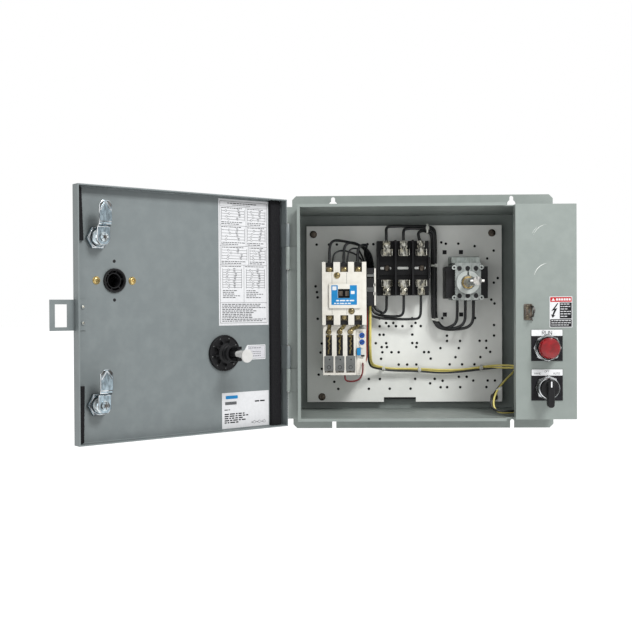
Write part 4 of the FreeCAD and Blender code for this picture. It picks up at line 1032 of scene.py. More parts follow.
def legend_print(node, name, words):
    """A white strip with plain words for the states, each (word, x from the middle, drop, height)."""
    low, high = box_of(node)
    sheet = Print(low.y)
    sheet.area(low.x + 0.25, high.x - 0.25, high.z - 8.8, high.z - 0.25, CARD, 0.5)
    for word, offset, drop, tall in words:
        scale = tall / 6
        left = (low.x + high.x) / 2 + offset - (len(word) * 5.4 - 1.4) * scale / 2
        for place, letter in enumerate(word):
            for x0, z0, x1, z1 in STROKES[letter]:
                corner = left + place * 5.4 * scale
                base = high.z - drop - tall / 2
                sheet.line((corner + x0 * scale, base + z0 * scale), (corner + x1 * scale, base + z1 * scale),
                           tall * 0.16, FAINT, level=1)
    sheet.pieces(name, "enclosure")


# ------------------------------------------------------------------ front panel devices


def pilot_lamp():
    """The red cap with its moulded ribs, on a chrome bezel with an octagonal nut."""
    low, high = box_of("pilot_lens")
    at = axis_of((low, high))
    radius = (high.x - low.x) / 2
    tip, base = low.y, high.y
    cap = bmesh.new()
    profile = [(0, base), (radius - 0.3, base)]
    for step in range(5):
        reach = base - 1 - step * 1.5
        profile += [(radius, reach), (radius, reach - 1.0), (radius - 0.35, reach - 1.2),
                    (radius - 0.35, reach - 1.3)]
    profile += [(radius - 0.2, tip + 5), (radius - 1, tip + 3.6)]
    ball = (radius**2 + 9) / 6
    for step in range(8, 0, -1):
        out = (radius - 1.6) * step / 8
        profile.append((out, tip + ball - math.sqrt(ball**2 - out**2)))
    profile.append((0, tip))
    lathe(cap, at, profile, count=64)
    piece("pilot_lens_cap", cap, RED, "enclosure", smooth=30, stands_for=("pilot_lens",))
    core = bmesh.new()
    for index in range(9):
        x = at.x - 10 + 2.5 * index
        tall = math.sqrt(max(11.5**2 - (x - at.x) ** 2, 4))
        brick(core, (x - 0.7, base - 7, at.z - tall), (x + 0.7, base - 5, at.z + tall))
    piece("pilot_lens_ribs", core, SCARLET, "enclosure")


def bezel(node, lip, out):
    """An octagonal locknut with a chamfer, and in front of it a turned chrome ring from lip to out."""
    low, high = box_of(node)
    at = axis_of((low, high))
    flat = (high.x - low.x) / 2
    front, back = low.y, high.y
    nut = back - 5.2
    mesh = bmesh.new()
    reach = flat / math.cos(math.pi / 8)
    ring(mesh, at, [(lip, back), (reach * 0.98, back), (reach, back - 0.7), (reach, nut + 0.9),
                    (reach * 0.96, nut),
                    (lip, nut)], count=48, wobble=polygon(8))
    ring(mesh, at, [(lip, nut + 0.1), (out - 1.6, nut + 0.1), (out - 0.8, nut - 0.5), (out - 0.2, nut - 1.4),
                    (out, nut - 2.2), (out, front + 1.6), (out - 0.3, front + 0.7), (out - 1, front),
                    (lip + 0.8, front),
                    (lip, front + 0.7)], count=64)
    piece(node + "_ring", mesh, CHROME, "enclosure", smooth=32, stands_for=(node,))


def selector():
    """The black lever knob, tapered, with a white line on its upper end."""
    low, high = box_of("selector_knob")
    at = Vector(((low.x + high.x) / 2, 0, middle(box_of("selector_body")).z))
    radius = (high.x - low.x) / 2
    front = low.y
    disc = bmesh.new()
    skirt = front + 8
    lathe(disc, at, [(0, skirt + 5), (radius - 0.3, skirt + 5), (radius - 0.3, skirt + 1),
                     (radius - 0.8, skirt + 0.2),
                     (radius - 2.4, skirt - 0.4), (0, skirt - 0.6)], count=56)
    piece("selector_disc", disc, BLACK, "selector_knob", stands_for=("selector_knob",))
    lever = bmesh.new()
    rows = []
    for depth, wide, short in ((skirt + 0.5, 5.35, 0.4), (front + 5, 5, 0), (front + 1.2, 4.4, 0.3),
                               (front, 3.7, 1.1)):
        row = []
        for step in range(24):
            turn = 2 * math.pi * (step + 0.5) / 24
            end = high.z - short - wide if step < 12 else low.z + short + wide
            row.append(lever.verts.new((at.x + wide * math.cos(turn), depth, end + wide * math.sin(turn))))
        rows.append(row)
    join_rows(lever, rows)
    close_ends(lever, rows)
    piece("selector_lever", lever, BLACK, "selector_knob", bevel=0.4)
    mark = bmesh.new()
    slab(mark, rounded(at.x - 0.9, at.x + 0.9, at.z + 2.4, high.z - 2, 0.6, 3), front + 0.2, front - 0.05)
    piece("selector_pointer", mark, CARD, "selector_knob")


def staple():
    """The padlock staple, folded from strip: a riveted base, the eye and a short tail."""
    low, high = box_of("padlock_staple")
    base, x0, x1, z0, z1 = high.y, low.x, high.x, low.z, high.z
    mesh = bmesh.new()
    slab(mesh, rounded(x0, x1, z0, z1, 1.6, 4), base - 0.05, base - 1.5)
    plate = piece("staple_plate", mesh, RUSSET, "enclosure", bevel=0.25,
                  stands_for=("padlock_staple",))
    relief = bmesh.new()
    brick(relief, (x0 + 6.5, base - 4, -2.2), (x0 + 8, base + 3, 3.6))
    cut_away(plate, relief)
    eye = bmesh.new()
    hoop = []
    middle_z, reach = 0.5, base - 9.5
    for step in range(17):
        turn = math.radians(-180 + 180 * step / 16)
        hoop.append((reach + 6.1 * math.sin(turn), middle_z + 6.9 * math.cos(turn)))
    outline = [(base - 0.3, middle_z - 6.9)] + hoop + [(base - 0.3, middle_z + 6.9)]
    sheet_strip(eye, outline, 2.1, x1 - 2, x1, "x")
    piece("staple_eye", eye, IRON, "enclosure", bevel=0.3)
    ribs = bmesh.new()
    slab_line(ribs, (x0 + 1.6, z1 - 1.6), (x0 + 1.6, z0 + 1.6), 0.9, base - 1.4, base - 1.75)
    slab_line(ribs, (x0 + 6.8, z0 + 5.5), (x1 - 2.4, z0 + 1.6), 0.9, base - 1.4, base - 1.75)
    piece("staple_ribs", ribs, IRON, "enclosure")
    spring = [(x1 - 2.6, base - 1.4, z1 - 5), (x1 + 1.4, base - 5, z1 - 4.6), (x1 + 2.8, base - 7, z1 - 9),
              (x1 + 0.6, base - 4.4, z1 - 15), (x1 - 1.8, base - 2.8, z1 - 20),
              (x1 - 0.6, base - 2.3, z0 + 1),
              (x1 - 0.2, base - 2.2, z0 - 1.4)]
    wire("staple_spring", spring, 1.5, IRON, "enclosure")
    places = [Vector((middle(b).x, base - 1.5, middle(b).z)) for b in solids("staple_rivets")]
    screw_heads("staple_rivet_heads", places, 2.9, 1.4, BRONZE, "enclosure", cross=False)


def scratches():
    """Two arcs that a swinging strap has rubbed into the paint."""
    face = box_of("fixed_front_panel")[0].y
    across_x = middle(box_of("pilot_legend_plate")).x + 3.4
    mesh = bmesh.new()
    for centre_z, radius, start, end, wide in ((99.5, 22.4, 98, 162, 0.35), (46.7, 20.8, 98, 168, 0.7),
                                               (98, 25.5, 125, 158, 0.25)):
        steps = 14
        points = []
        for step in range(steps + 1):
            turn = math.radians(start + (end - start) * step / steps)
            points.append((across_x + radius * math.cos(turn), centre_z + radius * math.sin(turn)))
        for index, (a, b) in enumerate(zip(points, points[1:])):
            fade = math.sin(math.pi * (index + 0.7) / (steps + 0.4))
            slab_line(mesh, a, b, wide * fade, face + 0.02, face - 0.02)
    piece("paint_scratches", mesh, PANEL, "enclosure")


# ------------------------------------------------------------------ inside the box


def panel_fastenings():
    """The heads of the panel's screws, and a dark sheet behind the panel that shows black through its holes:
    painted shade.
    """
    screw_heads("panel_screw_heads", seats(solids("panel_screws"), 2.4), 5.6, 2.4, RUSSET, "enclosure",
                stands_for=("panel_screws",))
    # The black sheet stands where there is only shade behind the panel: painted shade.
    low, high = box_of("mounting_panel")
    sheet = bmesh.new()
    slab(sheet, rounded(low.x + 4, high.x - 4, low.z + 4, high.z - 4, 3, 4), high.y + 0.35, high.y + 0.1)
    piece("panel_hole_shade_sheet", sheet, SOOT, "enclosure")


def starter_details():
    """Terminals in the contactor's pockets, its cover screws, and the caps of the two pushers."""
    low, high = box_of("contactor_cover")
    raised = low.y
    screws = solids("contactor_screws")
    terminals = [b for b in screws if b[0].y > raised + 4]
    covers = [b for b in screws if b not in terminals]
    screw_heads("contactor_terminal_screws", seats(terminals, 2.2), 4.3, 2.2, AGED, "enclosure",
                stands_for=("contactor_screws",))
    screw_heads("contactor_cover_screws", seats(covers, 2.2), 3.6, 2.2,
                AGED, "enclosure", collar=1.1)
    clamps, floors = bmesh.new(), bmesh.new()
    for x, y, z in seats(terminals, 2.2):
        way = 1 if z > 25 else -1
        brick(clamps, (x - 4.9, y, z - 5), (x + 4.9, y + 1.2, z + 5))
        for side in (-1, 1):
            brick(clamps, (x + side * 4.4 - 0.5, y - 1.1, z - 4.6), (x + side * 4.4 + 0.5, y, z + 4.6))
        ends = sorted((z - way * 2.7, z + way * 11.4))
        brick(floors, (x - 5.75, y + 1.4, ends[0]), (x + 5.75, y + 1.9, ends[1]))
    piece("contactor_terminal_clamps", clamps, BRONZE, "enclosure", bevel=0.15)
    piece("contactor_pocket_floors", floors, SOOT, "enclosure")
    joints = bmesh.new()
    for x in (low.x + 14.4, low.x + 35.8):
        slab_line(joints, (x, high.z - 15.6), (x, high.z - 32), 0.5, raised + 3.02, raised + 2.92)
        slab_line(joints, (x, low.z + 15), (x, low.z + 24), 0.5, raised + 3.02, raised + 2.92)
    piece("contactor_cover_seams", joints, PALE, "enclosure")
    caps = bmesh.new()
    carrier = box_of("contact_carrier")
    for side in (-1, 1):
        x, z = middle(carrier).x + side * 4.6, middle(carrier).z
        slab(caps, rounded(x - 2.7, x + 2.7, z - 3.6, z + 3.6, 0.8, 3), carrier[0].y + 0.3,
             carrier[0].y - 0.3)
        slab_line(caps, (x - side * 1.2, z - 2), (x - side * 1.2, z + 2.4), 0.9, carrier[0].y,
                  carrier[0].y - 0.7)
    piece("pusher_caps", caps, RUSSET, "contact_carrier", bevel=0.15)


def starter_label():
    """The blue label round the window, its words left as plain bars."""
    low = box_of("contactor_cover")[0]
    sheet = Print(low.y)
    x0, x1, z0, z1 = low.x + 13.4, low.x + 50.6, low.z + 29.3, low.z + 57.8
    wx0, wx1, wz0, wz1 = x0 + 9.4, x0 + 26.9, z0 + 9.8, z0 + 23.4
    for a, b, c, d in ((x0, x1, z0, wz0), (x0, wx0, wz0, z1), (wx1, x1, wz0, z1)):
        sheet.area(a, b, c, d, BLUE)
    sheet.area(wx0, wx1, wz1, z1, WHITE)
    sheet.area(x0 + 1.6, x0 + 7.4, z1 - 7, z1 - 1.6, CARD, 0.4, level=2)
    sheet.area(x1 - 8.8, x1 - 3.4, z1 - 12.8, z1 - 8.4, CARD, 0.4, level=2)
    rng = random.Random(8)
    for left, right, z, tall in ((x0 + 7, x1 - 3, z0 + 6.2, 1.9), (x0 + 4, x1 - 9, z0 + 2.1, 1.5)):
        x = left
        while x < right - 2:
            long = min(rng.uniform(1.6, 4.2) * tall, right - x)
            sheet.area(x, x + long, z - tall / 2, z + tall / 2, CARD, level=2)
            x += long + tall * 0.7
    sheet.pieces("starter_label_print", "enclosure")


def overload_details():
    """Heaters with their terminal screws, and the grey phase plates below them."""
    low = box_of("overload_housing")[0]
    front = low.y
    screws = solids("overload_screws")
    uppers = [b for b in screws if middle(b).z > -50]
    blocks, coils, straps = bmesh.new(), bmesh.new(), bmesh.new()
    for b in uppers:
        x, top, end = middle(b).x, b[0].z - 1.4, low.z + 28.8
        slab(blocks, rounded(x - 4.5, x + 4.5, end, top, 0.8, 3), front + 12, front + 3.4)
        for side in (-1, 1):
            for step in range(3):
                z = top - 5 - 8.2 * step
                slab(blocks, rounded(x + side * 3.4 - 0.9, x + side * 3.4 + 0.9, z - 2.6, z + 2.6, 0.5, 3),
                     front + 4, front + 2.2)
        points = [(x + 1.2, top - 1), (x + 1.4, top - 5), (x - 1.2, top - 8), (x + 1.3, top - 11.5),
                  (x - 1.1, top - 15),
                  (x + 1.2, top - 18.5), (x - 0.8, top - 22), (x - 0.6, end + 2)]
        for start, stop in zip(points, points[1:]):
            slab_line(coils, start, stop, 2.1, front + 3.5, front + 1.6)
        slab(coils, rounded(x - 3.4, x + 3.4, top - 2.2, top + 5, 1, 3), front + 3.8, front + 2.6)
    poles = sorted(middle(b).x for b in solids("contactor_screws") if middle(b).z < 0 and b[0].y > -95)
    for pole, b in zip(poles, sorted(uppers, key=lambda box: box[0].x)):
        slab_line(straps, (pole - 0.4, low.z + 78.5), (pole - 0.4, low.z + 71), 5.4, front - 0.4, front - 1.4)
        slab_line(straps, (pole - 0.4, low.z + 71.5), (middle(b).x, low.z + 66), 5.4, front - 0.4,
                  front - 1.4)
    piece("heater_straps", straps, OLIVE, "enclosure", bevel=0.2)
    piece("heater_bodies", blocks, SOOT, "enclosure", bevel=0.2)
    piece("heater_strips", coils, OLIVE, "enclosure", bevel=0.2,
          stands_for=("heater_elements",))
    screw_heads("overload_screw_heads", seats(screws, 2.2), 4.2, 2.2, AGED, "enclosure",
                stands_for=("overload_screws",))
    plates, marks = bmesh.new(), bmesh.new()
    for b in uppers:
        x = middle(b).x
        slab(plates, rounded(x - 6.9, x + 6.9, low.z + 6.2, low.z + 28, 1.0, 3), front + 0.05, front - 0.08)
        lathe(marks, (x + 0.8, 0, low.z + 23), [(0, front), (1.1, front), (1.1, front - 0.12),
                                                (0, front - 0.12)],
              count=20)
        ring(marks, (x, 0, low.z + 11.5), [(2.2, front), (2.9, front), (2.9, front - 0.12),
                                           (2.2, front - 0.12)],
             count=32)
    piece("overload_face_plates", plates, PALE, "enclosure", bevel=0.04)
    piece("overload_plate_marks", marks, SOOT, "enclosure")


def trip_details():
    """The trip unit's two dials with their rims, and flat dark marks for its slots, which are painted shade.
    """
    low, high = box_of("trip_unit")
    front = low.y
    dials, slots, pale = bmesh.new(), bmesh.new(), bmesh.new()
    x = low.x + 8.5
    for z in (high.z - 9.6, high.z - 19.5):
        ring(pale, (x, 0, z), [(4.2, front + 0.2), (4.7, front + 0.2), (4.7, front - 0.1), (4.5, front - 0.2),
                               (4.2, front - 0.2)], count=40)
        lathe(dials, (x, 0, z), [(0, front + 0.3), (4.1, front + 0.3), (4.1, front - 0.25),
                                 (3.8, front - 0.35),
                                 (0, front - 0.35)], count=40)
        slab_line(slots, (x - 2.9, z - 1.6), (x + 2.9, z + 1.6), 0.9, front - 0.3, front - 0.4)
    for x0, x1, z in ((low.x + 6.4, low.x + 10.2, high.z - 5.8), (low.x + 6.8, low.x + 12.2, high.z - 39.6)):
        slab(slots, rounded(x0, x1, z - 1.2, z + 1.2, 0.4, 2), front + 0.1, front - 0.05)
    piece("trip_dials", dials, NAVY, "enclosure")
    piece("trip_dial_rims", pale, WHITE, "enclosure")
    piece("trip_slot_shade", slots, SOOT, "enclosure")


def auxiliary_details():
    """The auxiliary contact's side frame of white rungs, its dark well, windows and clamps."""
    low, high = box_of("aux_contact_block")
    front = low.y
    bars, panes, dark = bmesh.new(), bmesh.new(), bmesh.new()
    slab(bars, rounded(high.x - 2.2, high.x, low.z + 0.6, high.z - 0.4, 0.5, 2), front + 9, front + 0.02)
    for z0, z1 in ((high.z - 26.8, high.z - 23), (high.z - 39.6, high.z - 35.2),
                   (high.z - 24, high.z - 22.4)):
        slab(bars, rounded(low.x + 0.4, high.x - 0.6, z0, z1, 0.4, 2), front + 3, front + 0.02)
    slab(panes, rounded(low.x + 1, high.x - 2.6, high.z - 12.6, high.z - 7, 0.4, 2), front + 0.3,
         front + 0.01)
    slab(panes, rounded(low.x + 1, high.x - 2.6, high.z - 34.6, high.z - 27.4, 0.4, 2), front + 0.3,
         front + 0.01)
    for row in range(3):
        z = high.z - 29 - 1.8 * row
        brick(dark, (low.x + 1.6, front - 0.25, z - 0.4), (high.x - 3.2, front + 0.4, z + 0.4))
    slab(dark, rounded(low.x + 1.2, high.x - 2.8, low.z + 1, high.z - 41, 0.4, 2), front + 0.4, front - 0.1)
    piece("aux_block_frame", bars, WHITE, "enclosure", bevel=0.02)
    piece("aux_block_windows", panes, PALE, "enclosure")
    piece("aux_block_grille", dark, SOOT, "enclosure")
    x = (low.x + high.x) / 2 - 0.8
    screws = [Vector((x, front + 0.3, z)) for z in (high.z - 17.4, low.z + 5.2)]
    screw_heads("aux_block_screws", screws, 2.9, 0.28, AGED, "enclosure")


def fuse_block():
    """Spring clips of bent strip, box lugs with their screws, and the block's mounting screws and slots."""
    low = box_of("fuse_block_base")[0]
    clips, lugs, grips, plates = (bmesh.new() for _ in range(4))
    clip_boxes = solids("fuse_clips")
    front = min(b[0].y for b in clip_boxes)
    fuses = sorted({round((b[0].x + b[1].x) / 2, 1) for b in clip_boxes})
    columns = []
    for x in fuses:
        if not columns or x - columns[-1][-1] > 12:
            columns.append([x])
        else:
            columns[-1].append(x)
    centres = [sum(column) / len(column) for column in columns]
    floor = max(b[1].y for b in clip_boxes) - 8.4
    top_row, low_row = low.z + 64.5, low.z + 18.3
    for x in centres:
        for z in (top_row, low_row):
            for side in (-1, 1):
                spring = [(x + side * 2.2, floor - 0.5), (x + side * 6.4, floor - 0.5),
                          (x + side * 7.3, floor - 1.6),
                          (x + side * 7.5, floor - 5), (x + side * 7.1, front + 8),
                          (x + side * 7.9, front + 4.8),
                          (x + side * 7.4, front + 3.2), (x + side * 6.3, front + 2.2),
                          (x + side * 7.2, front + 0.9),
                          (x + side * 8.3, front + 0.5)]
                sheet_strip(clips, spring, 0.8, z - 4.6, z + 4.6)
                saddle = [(x + side * 8.5, floor - 3), (x + side * 8.5, front + 6.5),
                          (x + side * 8.2, front + 5)]
                sheet_strip(grips, saddle, 0.8, z - 2.6, z + 2.6)
            slab(plates, rounded(x - 7.4, x + 7.4, z - 5.2, z + 5.2, 0.8, 3), floor + 0.5, floor - 0.4)
            out = 1 if z == top_row else -1
            edges = sorted((z, z + out * 8.6))
            slab(plates, rounded(x - 4.4, x + 4.4, edges[0], edges[1], 0.6, 3), floor - 0.3, floor - 1.1)
    piece("fuse_clip_plates", plates, TINNED, "enclosure", bevel=0.1)
    piece("fuse_clip_springs", clips, TINNED, "enclosure", smooth=50,
          stands_for=("fuse_clips",))
    piece("fuse_clip_keepers", grips, STEEL, "enclosure", smooth=50)
    heads, mounts = [], []
    for b in solids("fuse_block_screws"):
        place, = seats([b], 2.2)
        (heads if min(abs(middle(b).z - (low.z + r)) for r in (5.6, 77)) < 2 else mounts).append(place)
    for x, y, z in heads:
        ring(lugs, (x, 0, z), [(4.2, y + 0.2), (5.3, y + 0.2), (5.5, y - 0.3), (5.5, y - 1.4), (5, y - 1.8),
                               (4.2, y - 1.8)],
             count=32)
        brick(lugs, (x - 5.6, y + 0.2, z - 5), (x + 5.6, y + 4.6, z + 5))
    piece("fuse_box_lugs", lugs, TINNED, "enclosure", bevel=0.2)
    screw_heads("fuse_lug_screws", heads, 4.1, 1.7, TINNED, "enclosure", cross=False,
                stands_for=("fuse_block_screws",))
    screw_heads("fuse_block_mounting_screws", mounts, 4.4, 2.2, RUSSET, "enclosure")
    slots = bmesh.new()
    level = mounts[0].y - 0.15
    for x in centres:
        z = mounts[0].z
        slab(slots, rounded(x - 9.4, x + 7.4, z - 1.9, z + 1.9, 1.85, 5), level + 0.3, level)
    piece("fuse_block_slots", slots, PANEL, "enclosure")


def disconnect_details():
    """The switch's terminals, the ribs of its clear housing, its inner ring and shaft end."""
    low, high = box_of("disconnect_body")
    front = low.y
    lugs = bmesh.new()
    places = seats(solids("disconnect_terminals"), 1.9)
    for x, y, z in places:
        brick(lugs, (x - 4.2, y, z - 4.6), (x + 4.2, y + 2.3, z + 4.6))
    piece("disconnect_terminal_clamps", lugs, TINNED, "enclosure", bevel=0.2)
    screw_heads("disconnect_terminal_screws", places, 3.5, 1.9, TINNED, "enclosure",
                stands_for=("disconnect_terminals",))
    # Flat dark rings and discs on the housing's face where the terminal wells open: painted shade.
    wells = bmesh.new()
    for place in places:
        side = 1 if place.z > middle((low, high)).z else -1
        ring(wells, (place.x, 0, place.z + side * 1.6), [(2, front + 0.4), (3.3, front + 0.4),
                                                         (3.5, front - 0.05),
                                                         (2.2, front - 0.05)], count=28)
        lathe(wells, (place.x, 0, place.z + side * 1.6), [(0, front + 0.3), (2.6, front + 0.3),
                                                          (2.6, front - 0.02),
                                                          (0, front - 0.02)], count=28)
    piece("disconnect_terminal_well_shade", wells, SOOT, "enclosure")
    collar = box_of("disconnect_collar")
    at = axis_of(collar)
    brass = bmesh.new()
    ring(brass, at, [(6.6, collar[0].y + 2), (9.2, collar[0].y + 2), (9.2, collar[0].y + 0.7),
                     (8.8, collar[0].y + 0.3),
                     (7, collar[0].y + 0.3), (6.6, collar[0].y + 0.7)], count=48)
    piece("disconnect_inner_ring", brass, BRASS, "enclosure")
    ribs = bmesh.new()
    for x in (low.x + 0.8, high.x - 0.8):
        for z in (low.z + 12.5, high.z - 12.5):
            slab(ribs, rounded(x - 0.7, x + 0.7, z - 6, z + 6, 0.5, 3), front + 0.2, front - 0.5)
    for x in (low.x + 12.1, low.x + 24.3):
        for z0, z1 in ((low.z + 0.5, low.z + 9.6), (high.z - 9.6, high.z - 0.5)):
            slab(ribs, rounded(x - 0.6, x + 0.6, z0, z1, 0.5, 3), front + 0.2, front - 1.2)
    piece("disconnect_housing_ribs", ribs, GLAZED, "enclosure")
    ends = bmesh.new()
    for b in solids("disconnect_side_blocks"):
        for step in range(4):
            z = b[0].z + (b[1].z - b[0].z) * (0.2 + 0.2 * step)
            slab_line(ends, (b[0].x + 1.4, z), (b[1].x - 1.4, z), 0.9, b[0].y + 0.1, b[0].y - 0.25)
    piece("side_block_ribs", ends, BLACK, "enclosure")
    grooves = bmesh.new()
    shaft = box_of("switch_shaft")
    for reach in (2.2, 3.6):
        ring(grooves, at, [(5.6, shaft[0].y + reach), (5.85, shaft[0].y + reach + 0.2),
                           (5.85, shaft[0].y + reach + 0.6),
                           (5.6, shaft[0].y + reach + 0.8)], count=40)
    piece("switch_shaft_bands", grooves, CHROME, "switch_rotor")


# ------------------------------------------------------------------ wires and ties


FUSES = (-57.2, -31.4, -5.6)
POLES = (-142.7, -121.5, -101.2)
TERMINALS = (48.4, 60.5, 72.6)


def wires():
    """Power wires: from the fuses round to the contactor, and from the fuses down to the switch."""
    for lane, (fuse, pole) in enumerate(zip(FUSES, POLES)):
        low = -1.5 - 4.3 * lane
        channel = -77 - 3.6 * lane
        over = 106 - 3.4 * lane
        route = [(fuse, -40, 26.1), (fuse, -40, 14 + low / 2), (fuse - 0.6, -39.5, low + 2),
                 (fuse - 9, -38, low - 1.6),
                 (channel + 14, -31, low), (channel + 1, -29, low + 7), (channel, -29, 24),
                 (channel - 0.6, -29, 46),
                 (channel, -31, 70), (channel - 7, -52, over - 9), (pole + 15, -78, over + 1),
                 (pole + 1, -87, over - 2),
                 (pole - 0.6, -86, 82), (pole, -85, 64.5)]
        wire(f"starter_wire_{lane + 1}", route, 4.0, WIRE_BLACK, "enclosure",
             ("starter_wires",) if lane == 0 else ())
    for lane, (fuse, terminal) in enumerate(zip(FUSES, TERMINALS)):
        top = 129.6 - 3.4 * lane
        down = 17.9 - 2.5 * lane
        depth = (-26, -30.4, -26)[lane]
        low = -25 - 3.2 * lane
        route = [(fuse, -40, 106.5), (fuse - (0, 0, 2.6)[lane], -40, top - 13),
                 (fuse - (0.4, 0, 4)[lane], -39, top - 2),
                 (fuse + 7, -37, top + 0.4), (down - 14, depth - 5, top), (down - 1, depth, top - 2.6),
                 (down + 0.4, depth, top - 20), (down, depth, 70), (down, depth, 20), (down, depth, -2),
                 (down + 1.6, depth - 1, -15), (down + 11, -34, low + 2 * lane),
                 (terminal - 12, -42, low + 2 * lane + 1),
                 (terminal - 0.6, -45.5, -17), (terminal, -46, 2), (terminal, -46, 17.1)]
        wire(f"line_wire_{lane + 1}", route, 4.4, WIRE_BLACK, "enclosure",
             ("line_wires",) if lane == 0 else ())
    for number, (pole, over, gap) in enumerate(((-138.4, 91, 0), (-117, 96, 2.4))):
        route = [(pole, -86, 64), (pole, -86.6, 80), (pole + 4, -86, over - 3),
                 (pole + 15, -80, over + 1 - gap),
                 (-101 + gap, -66, over - 5), (-90, -48 + gap, over - 20), (-85.6, -37 + gap, 58),
                 (-85, -33 + gap, 40),
                 (-84.6, -31 + gap, 20)]
        wire(f"pilot_feed_wire_{number + 1}", route, 2.6, WIRE_BLACK, "enclosure")
    thin_wires()


def thin_wires():
    """Control wires in one loose bundle along the bottom, and the relay's jumper."""
    strands = ((2.1, 1.2, WIRE_YELLOW), (-1.6, 2.6, WIRE_BLACK), (0.5, 0.2, WIRE_YELLOW))
    for number, (side, rise, colour) in enumerate(strands):
        wave = 0.9 * (number - 1)
        route = [(-84.6 + side, -66 - rise, 9.3), (-84.6 + side, -66 - rise, -22),
                 (-84.9 + side, -64 - rise, -60),
                 (-82.6 + side, -46 - rise, -80 + side), (-71, -29 - rise, -84.5 + side),
                 (-50, -25.5 - rise, -88 + side + wave), (-10, -24 - rise, -88.6 + side),
                 (26, -24 - rise, -92 + side - wave), (62, -24 - rise, -89.6 + side + wave),
                 (90, -26 - rise, -85.6 + side)]
        if number < 2:
            route += [(116, -33 - rise, -83 + side), (136 + side, -47 - rise, -84 + side),
                      (127 + side, -66 - 2 * rise, -91 + side),
                      (106 + 1.4 * side, -90 - 2 * rise, -105 + side),
                      (91 + 1.4 * side, -107 - 2 * rise, -121 + side), (88 + side, -117 - rise, -136.4),
                      (99, -121 - rise, -143.4 - side / 2), (122, -120 - rise, -142 - side / 2),
                      (150 + 4 * number, -113, -139), (156 + 4 * number, -110, -125.6)]
        else:
            route += [(118, -38, -85), (146, -66, -84), (157, -100, -83), (158, -110, -69.4)]
        wire(f"control_wire_{number + 1}", route, 2.9, colour, "enclosure",
             ("control_wires",) if number == 0 else ())
    coil = [(-86.4, -69, 9.3), (-87.4, -69.4, -10), (-88, -70, -26), (-88.4, -72, -44), (-88.2, -73, -58),
            (-88.4, -76, -70), (-91.4, -79, -75)]
    wire("coil_wire", coil, 1.8, WIRE_RED, "enclosure")
    route = [(-94.6, -83.7, -75), (-94.6, -89, -76), (-94.9, -91, -88), (-99, -90, -98),
             (-109, -86.5, -101.5),
             (-119, -82, -101), (-121, -81, -97), (-121, -81, -92.1)]
    wire("jumper_wire_strand", route, 2.4, WIRE_MAROON, "enclosure", ("jumper_wire",))


def ties():
    """Nylon ties: a band round each bundle, a square head and a cut tail."""
    mesh = bmesh.new()
    for x, z, lean in ((15.4, 70.2, 0.4), (16.2, -12, -0.6)):
        tie_band(mesh, (x, -28.4, z), 5.3, 4.9, "z", lean)
    tie_band(mesh, (5, -33.4, 126.2), 6.2, 3.6, "x", 0.2)
    for x, z in ((-62, -86.4), (-7.5, -88.6), (86, -86)):
        tie_band(mesh, (x, -26.2, z), 3.7, 3.5, "x", 0.5)
    tie_band(mesh, (99.4, -99.6, -112), 4.4, 3.4, "z", 2.6)
    piece("cable_tie_bands", mesh, NYLON, "enclosure", bevel=0.15, stands_for=("cable_ties",))


def tie_band(mesh, centre, half, deep, axis, lean):
    """A flat band round an oblong bundle; half is its half width and deep its half depth."""
    cx, cy, cz = centre
    steps = 28
    rows = []
    for edge in (-1.3, 1.3):
        for grow in (0, 0.8):
            row = []
            for step in range(steps):
                turn = 2 * math.pi * step / steps
                a = math.copysign(abs(math.cos(turn)) ** 0.6, math.cos(turn)) * (half + grow)
                b = math.copysign(abs(math.sin(turn)) ** 0.6, math.sin(turn)) * (deep + grow)
                shift = lean * a / half
                place = (cx + a, cy + b, cz + edge + shift) if axis == "z" else (cx + edge + shift, cy + b,
                                                                                 cz + a)
                row.append(mesh.verts.new(place))
            rows.append(row)
    inner, outer, far_inner, far_outer = rows
    join_rows(mesh, [inner, outer, far_outer, far_inner, inner])
    front = cy - deep - 0.8
    if axis == "z":
        brick(mesh, (cx + half * 0.1, front - 2.6, cz - 2.4), (cx + half * 0.1 + 4.6, front + 0.4, cz + 2.4))
        brick(mesh, (cx + half * 0.1 + 1.1, front - 5.4, cz - 1.2),
              (cx + half * 0.1 + 2, front - 2, cz + 1.2))
    else:
        brick(mesh, (cx - 2.4, front - 2.6, cz - 2), (cx + 2.4, front + 0.4, cz + 2.6))
        brick(mesh, (cx - 1.2, front - 5.4, cz - 0.4), (cx + 1.2, front - 2, cz + 0.5))


# ------------------------------------------------------------------ room, light and camera


def camera():
    """Where the picture was taken from, found from the box's corners."""
    data = bpy.data.cameras.new("picture_camera")
    data.sensor_fit = "HORIZONTAL"
    data.sensor_width = 36
    data.lens = 56.64
    data.clip_start, data.clip_end = 0.05, 40
    thing = add_object("picture_camera", data)
    yaw, pitch, roll = (math.radians(angle) for angle in (-1.362, -0.545, 0.316))
    ahead = Vector((math.sin(yaw) * math.cos(pitch), math.cos(yaw) * math.cos(pitch), math.sin(pitch)))
    turn = ahead.to_track_quat("-Z", "Y").to_matrix().to_4x4() @ Matrix.Rotation(-roll, 4, "Z")
    thing.matrix_world = Matrix.Translation(Vector((-128.29, -1544.18, 8.86)) * MM) @ turn
    SCENE.camera = thing


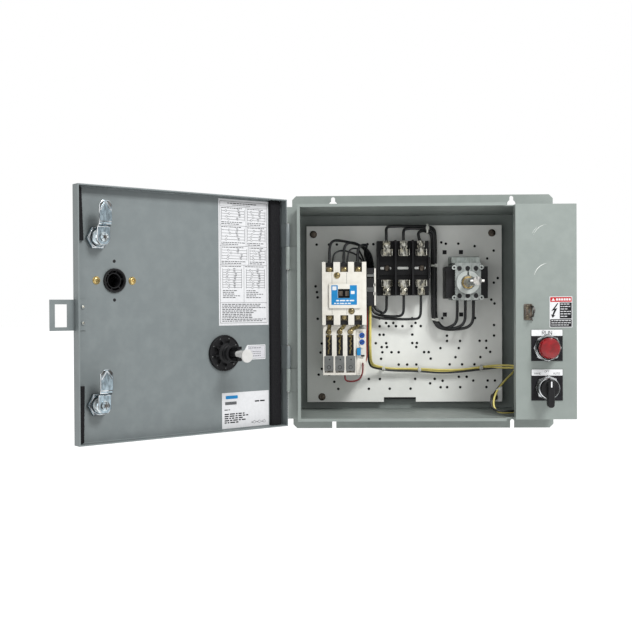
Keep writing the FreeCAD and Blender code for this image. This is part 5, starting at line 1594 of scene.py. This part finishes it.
def lamp(name, place, aim, size, watts):
    """A rectangular area lamp at a place in metres, aimed at another."""
    data = bpy.data.lights.new(name, "AREA")
    data.shape = "RECTANGLE"
    data.size, data.size_y = size
    data.energy = watts
    turn = (Vector(aim) - Vector(place)).to_track_quat("-Z", "Y").to_matrix().to_4x4()
    add_object(name, data).matrix_world = Matrix.Translation(Vector(place)) @ turn


def room():
    """A pale floor well under the box, an even white world, and soft lamps from the right and above."""
    mesh = bmesh.new()
    level = (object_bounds()[0][2] - 0.45) / MM
    slab_line(mesh, (-30000, level - 10), (30000, level - 10), 20, -30000, 30000)
    data = finished("floor", mesh)
    floor = Finish("pale_floor", (0.86, 0.86, 0.86), 0.9, Emission_Strength=0.25)
    floor.shader.inputs["Emission Color"].default_value = (1, 1, 1, 1)
    data.materials.append(floor.mottle(900, (0.84, 0.84, 0.845), 2).done())
    add_object("floor", data)
    world = bpy.data.worlds.new("white_room")
    world.use_nodes = True
    world.node_tree.nodes["Background"].inputs["Color"].default_value = (1, 1, 1, 1)
    world.node_tree.nodes["Background"].inputs["Strength"].default_value = 1.0
    SCENE.world = world
    SCENE.view_settings.view_transform = "Standard"
    lamp("key_softbox", (0.62, -1.15, 1.05), (-0.02, -0.05, 0), (0.45, 0.45), 27)
    lamp("left_fill", (-1.6, -1.4, 0.3), (-0.2, -0.1, 0), (0.9, 0.9), 5)


# ------------------------------------------------------------------ making it


dress_nodes()
hinge_knuckles()
cut_edges()
gaskets()
latches()
handle_back()
spare_holes()
reset_button_back()
wiring_diagram()
rating_label()
warning_print()
legend_print("pilot_legend_plate", "pilot_legend_print", (("RUN", 0, 4.5, 5.4),))
legend_print("selector_legend_plate", "selector_legend_print",
             (("HAND", -13, 5.9, 2.6), ("OFF", 0, 3, 2.6), ("AUTO", 13, 5.9, 2.6)))
pilot_lamp()
bezel("pilot_bezel", 15.2, 17)
bezel("selector_bezel", 12.6, 14.8)
selector()
staple()
scratches()
panel_fastenings()
starter_details()
starter_label()
overload_details()
trip_details()
auxiliary_details()
fuse_block()
disconnect_details()
wires()
ties()
room()
camera()
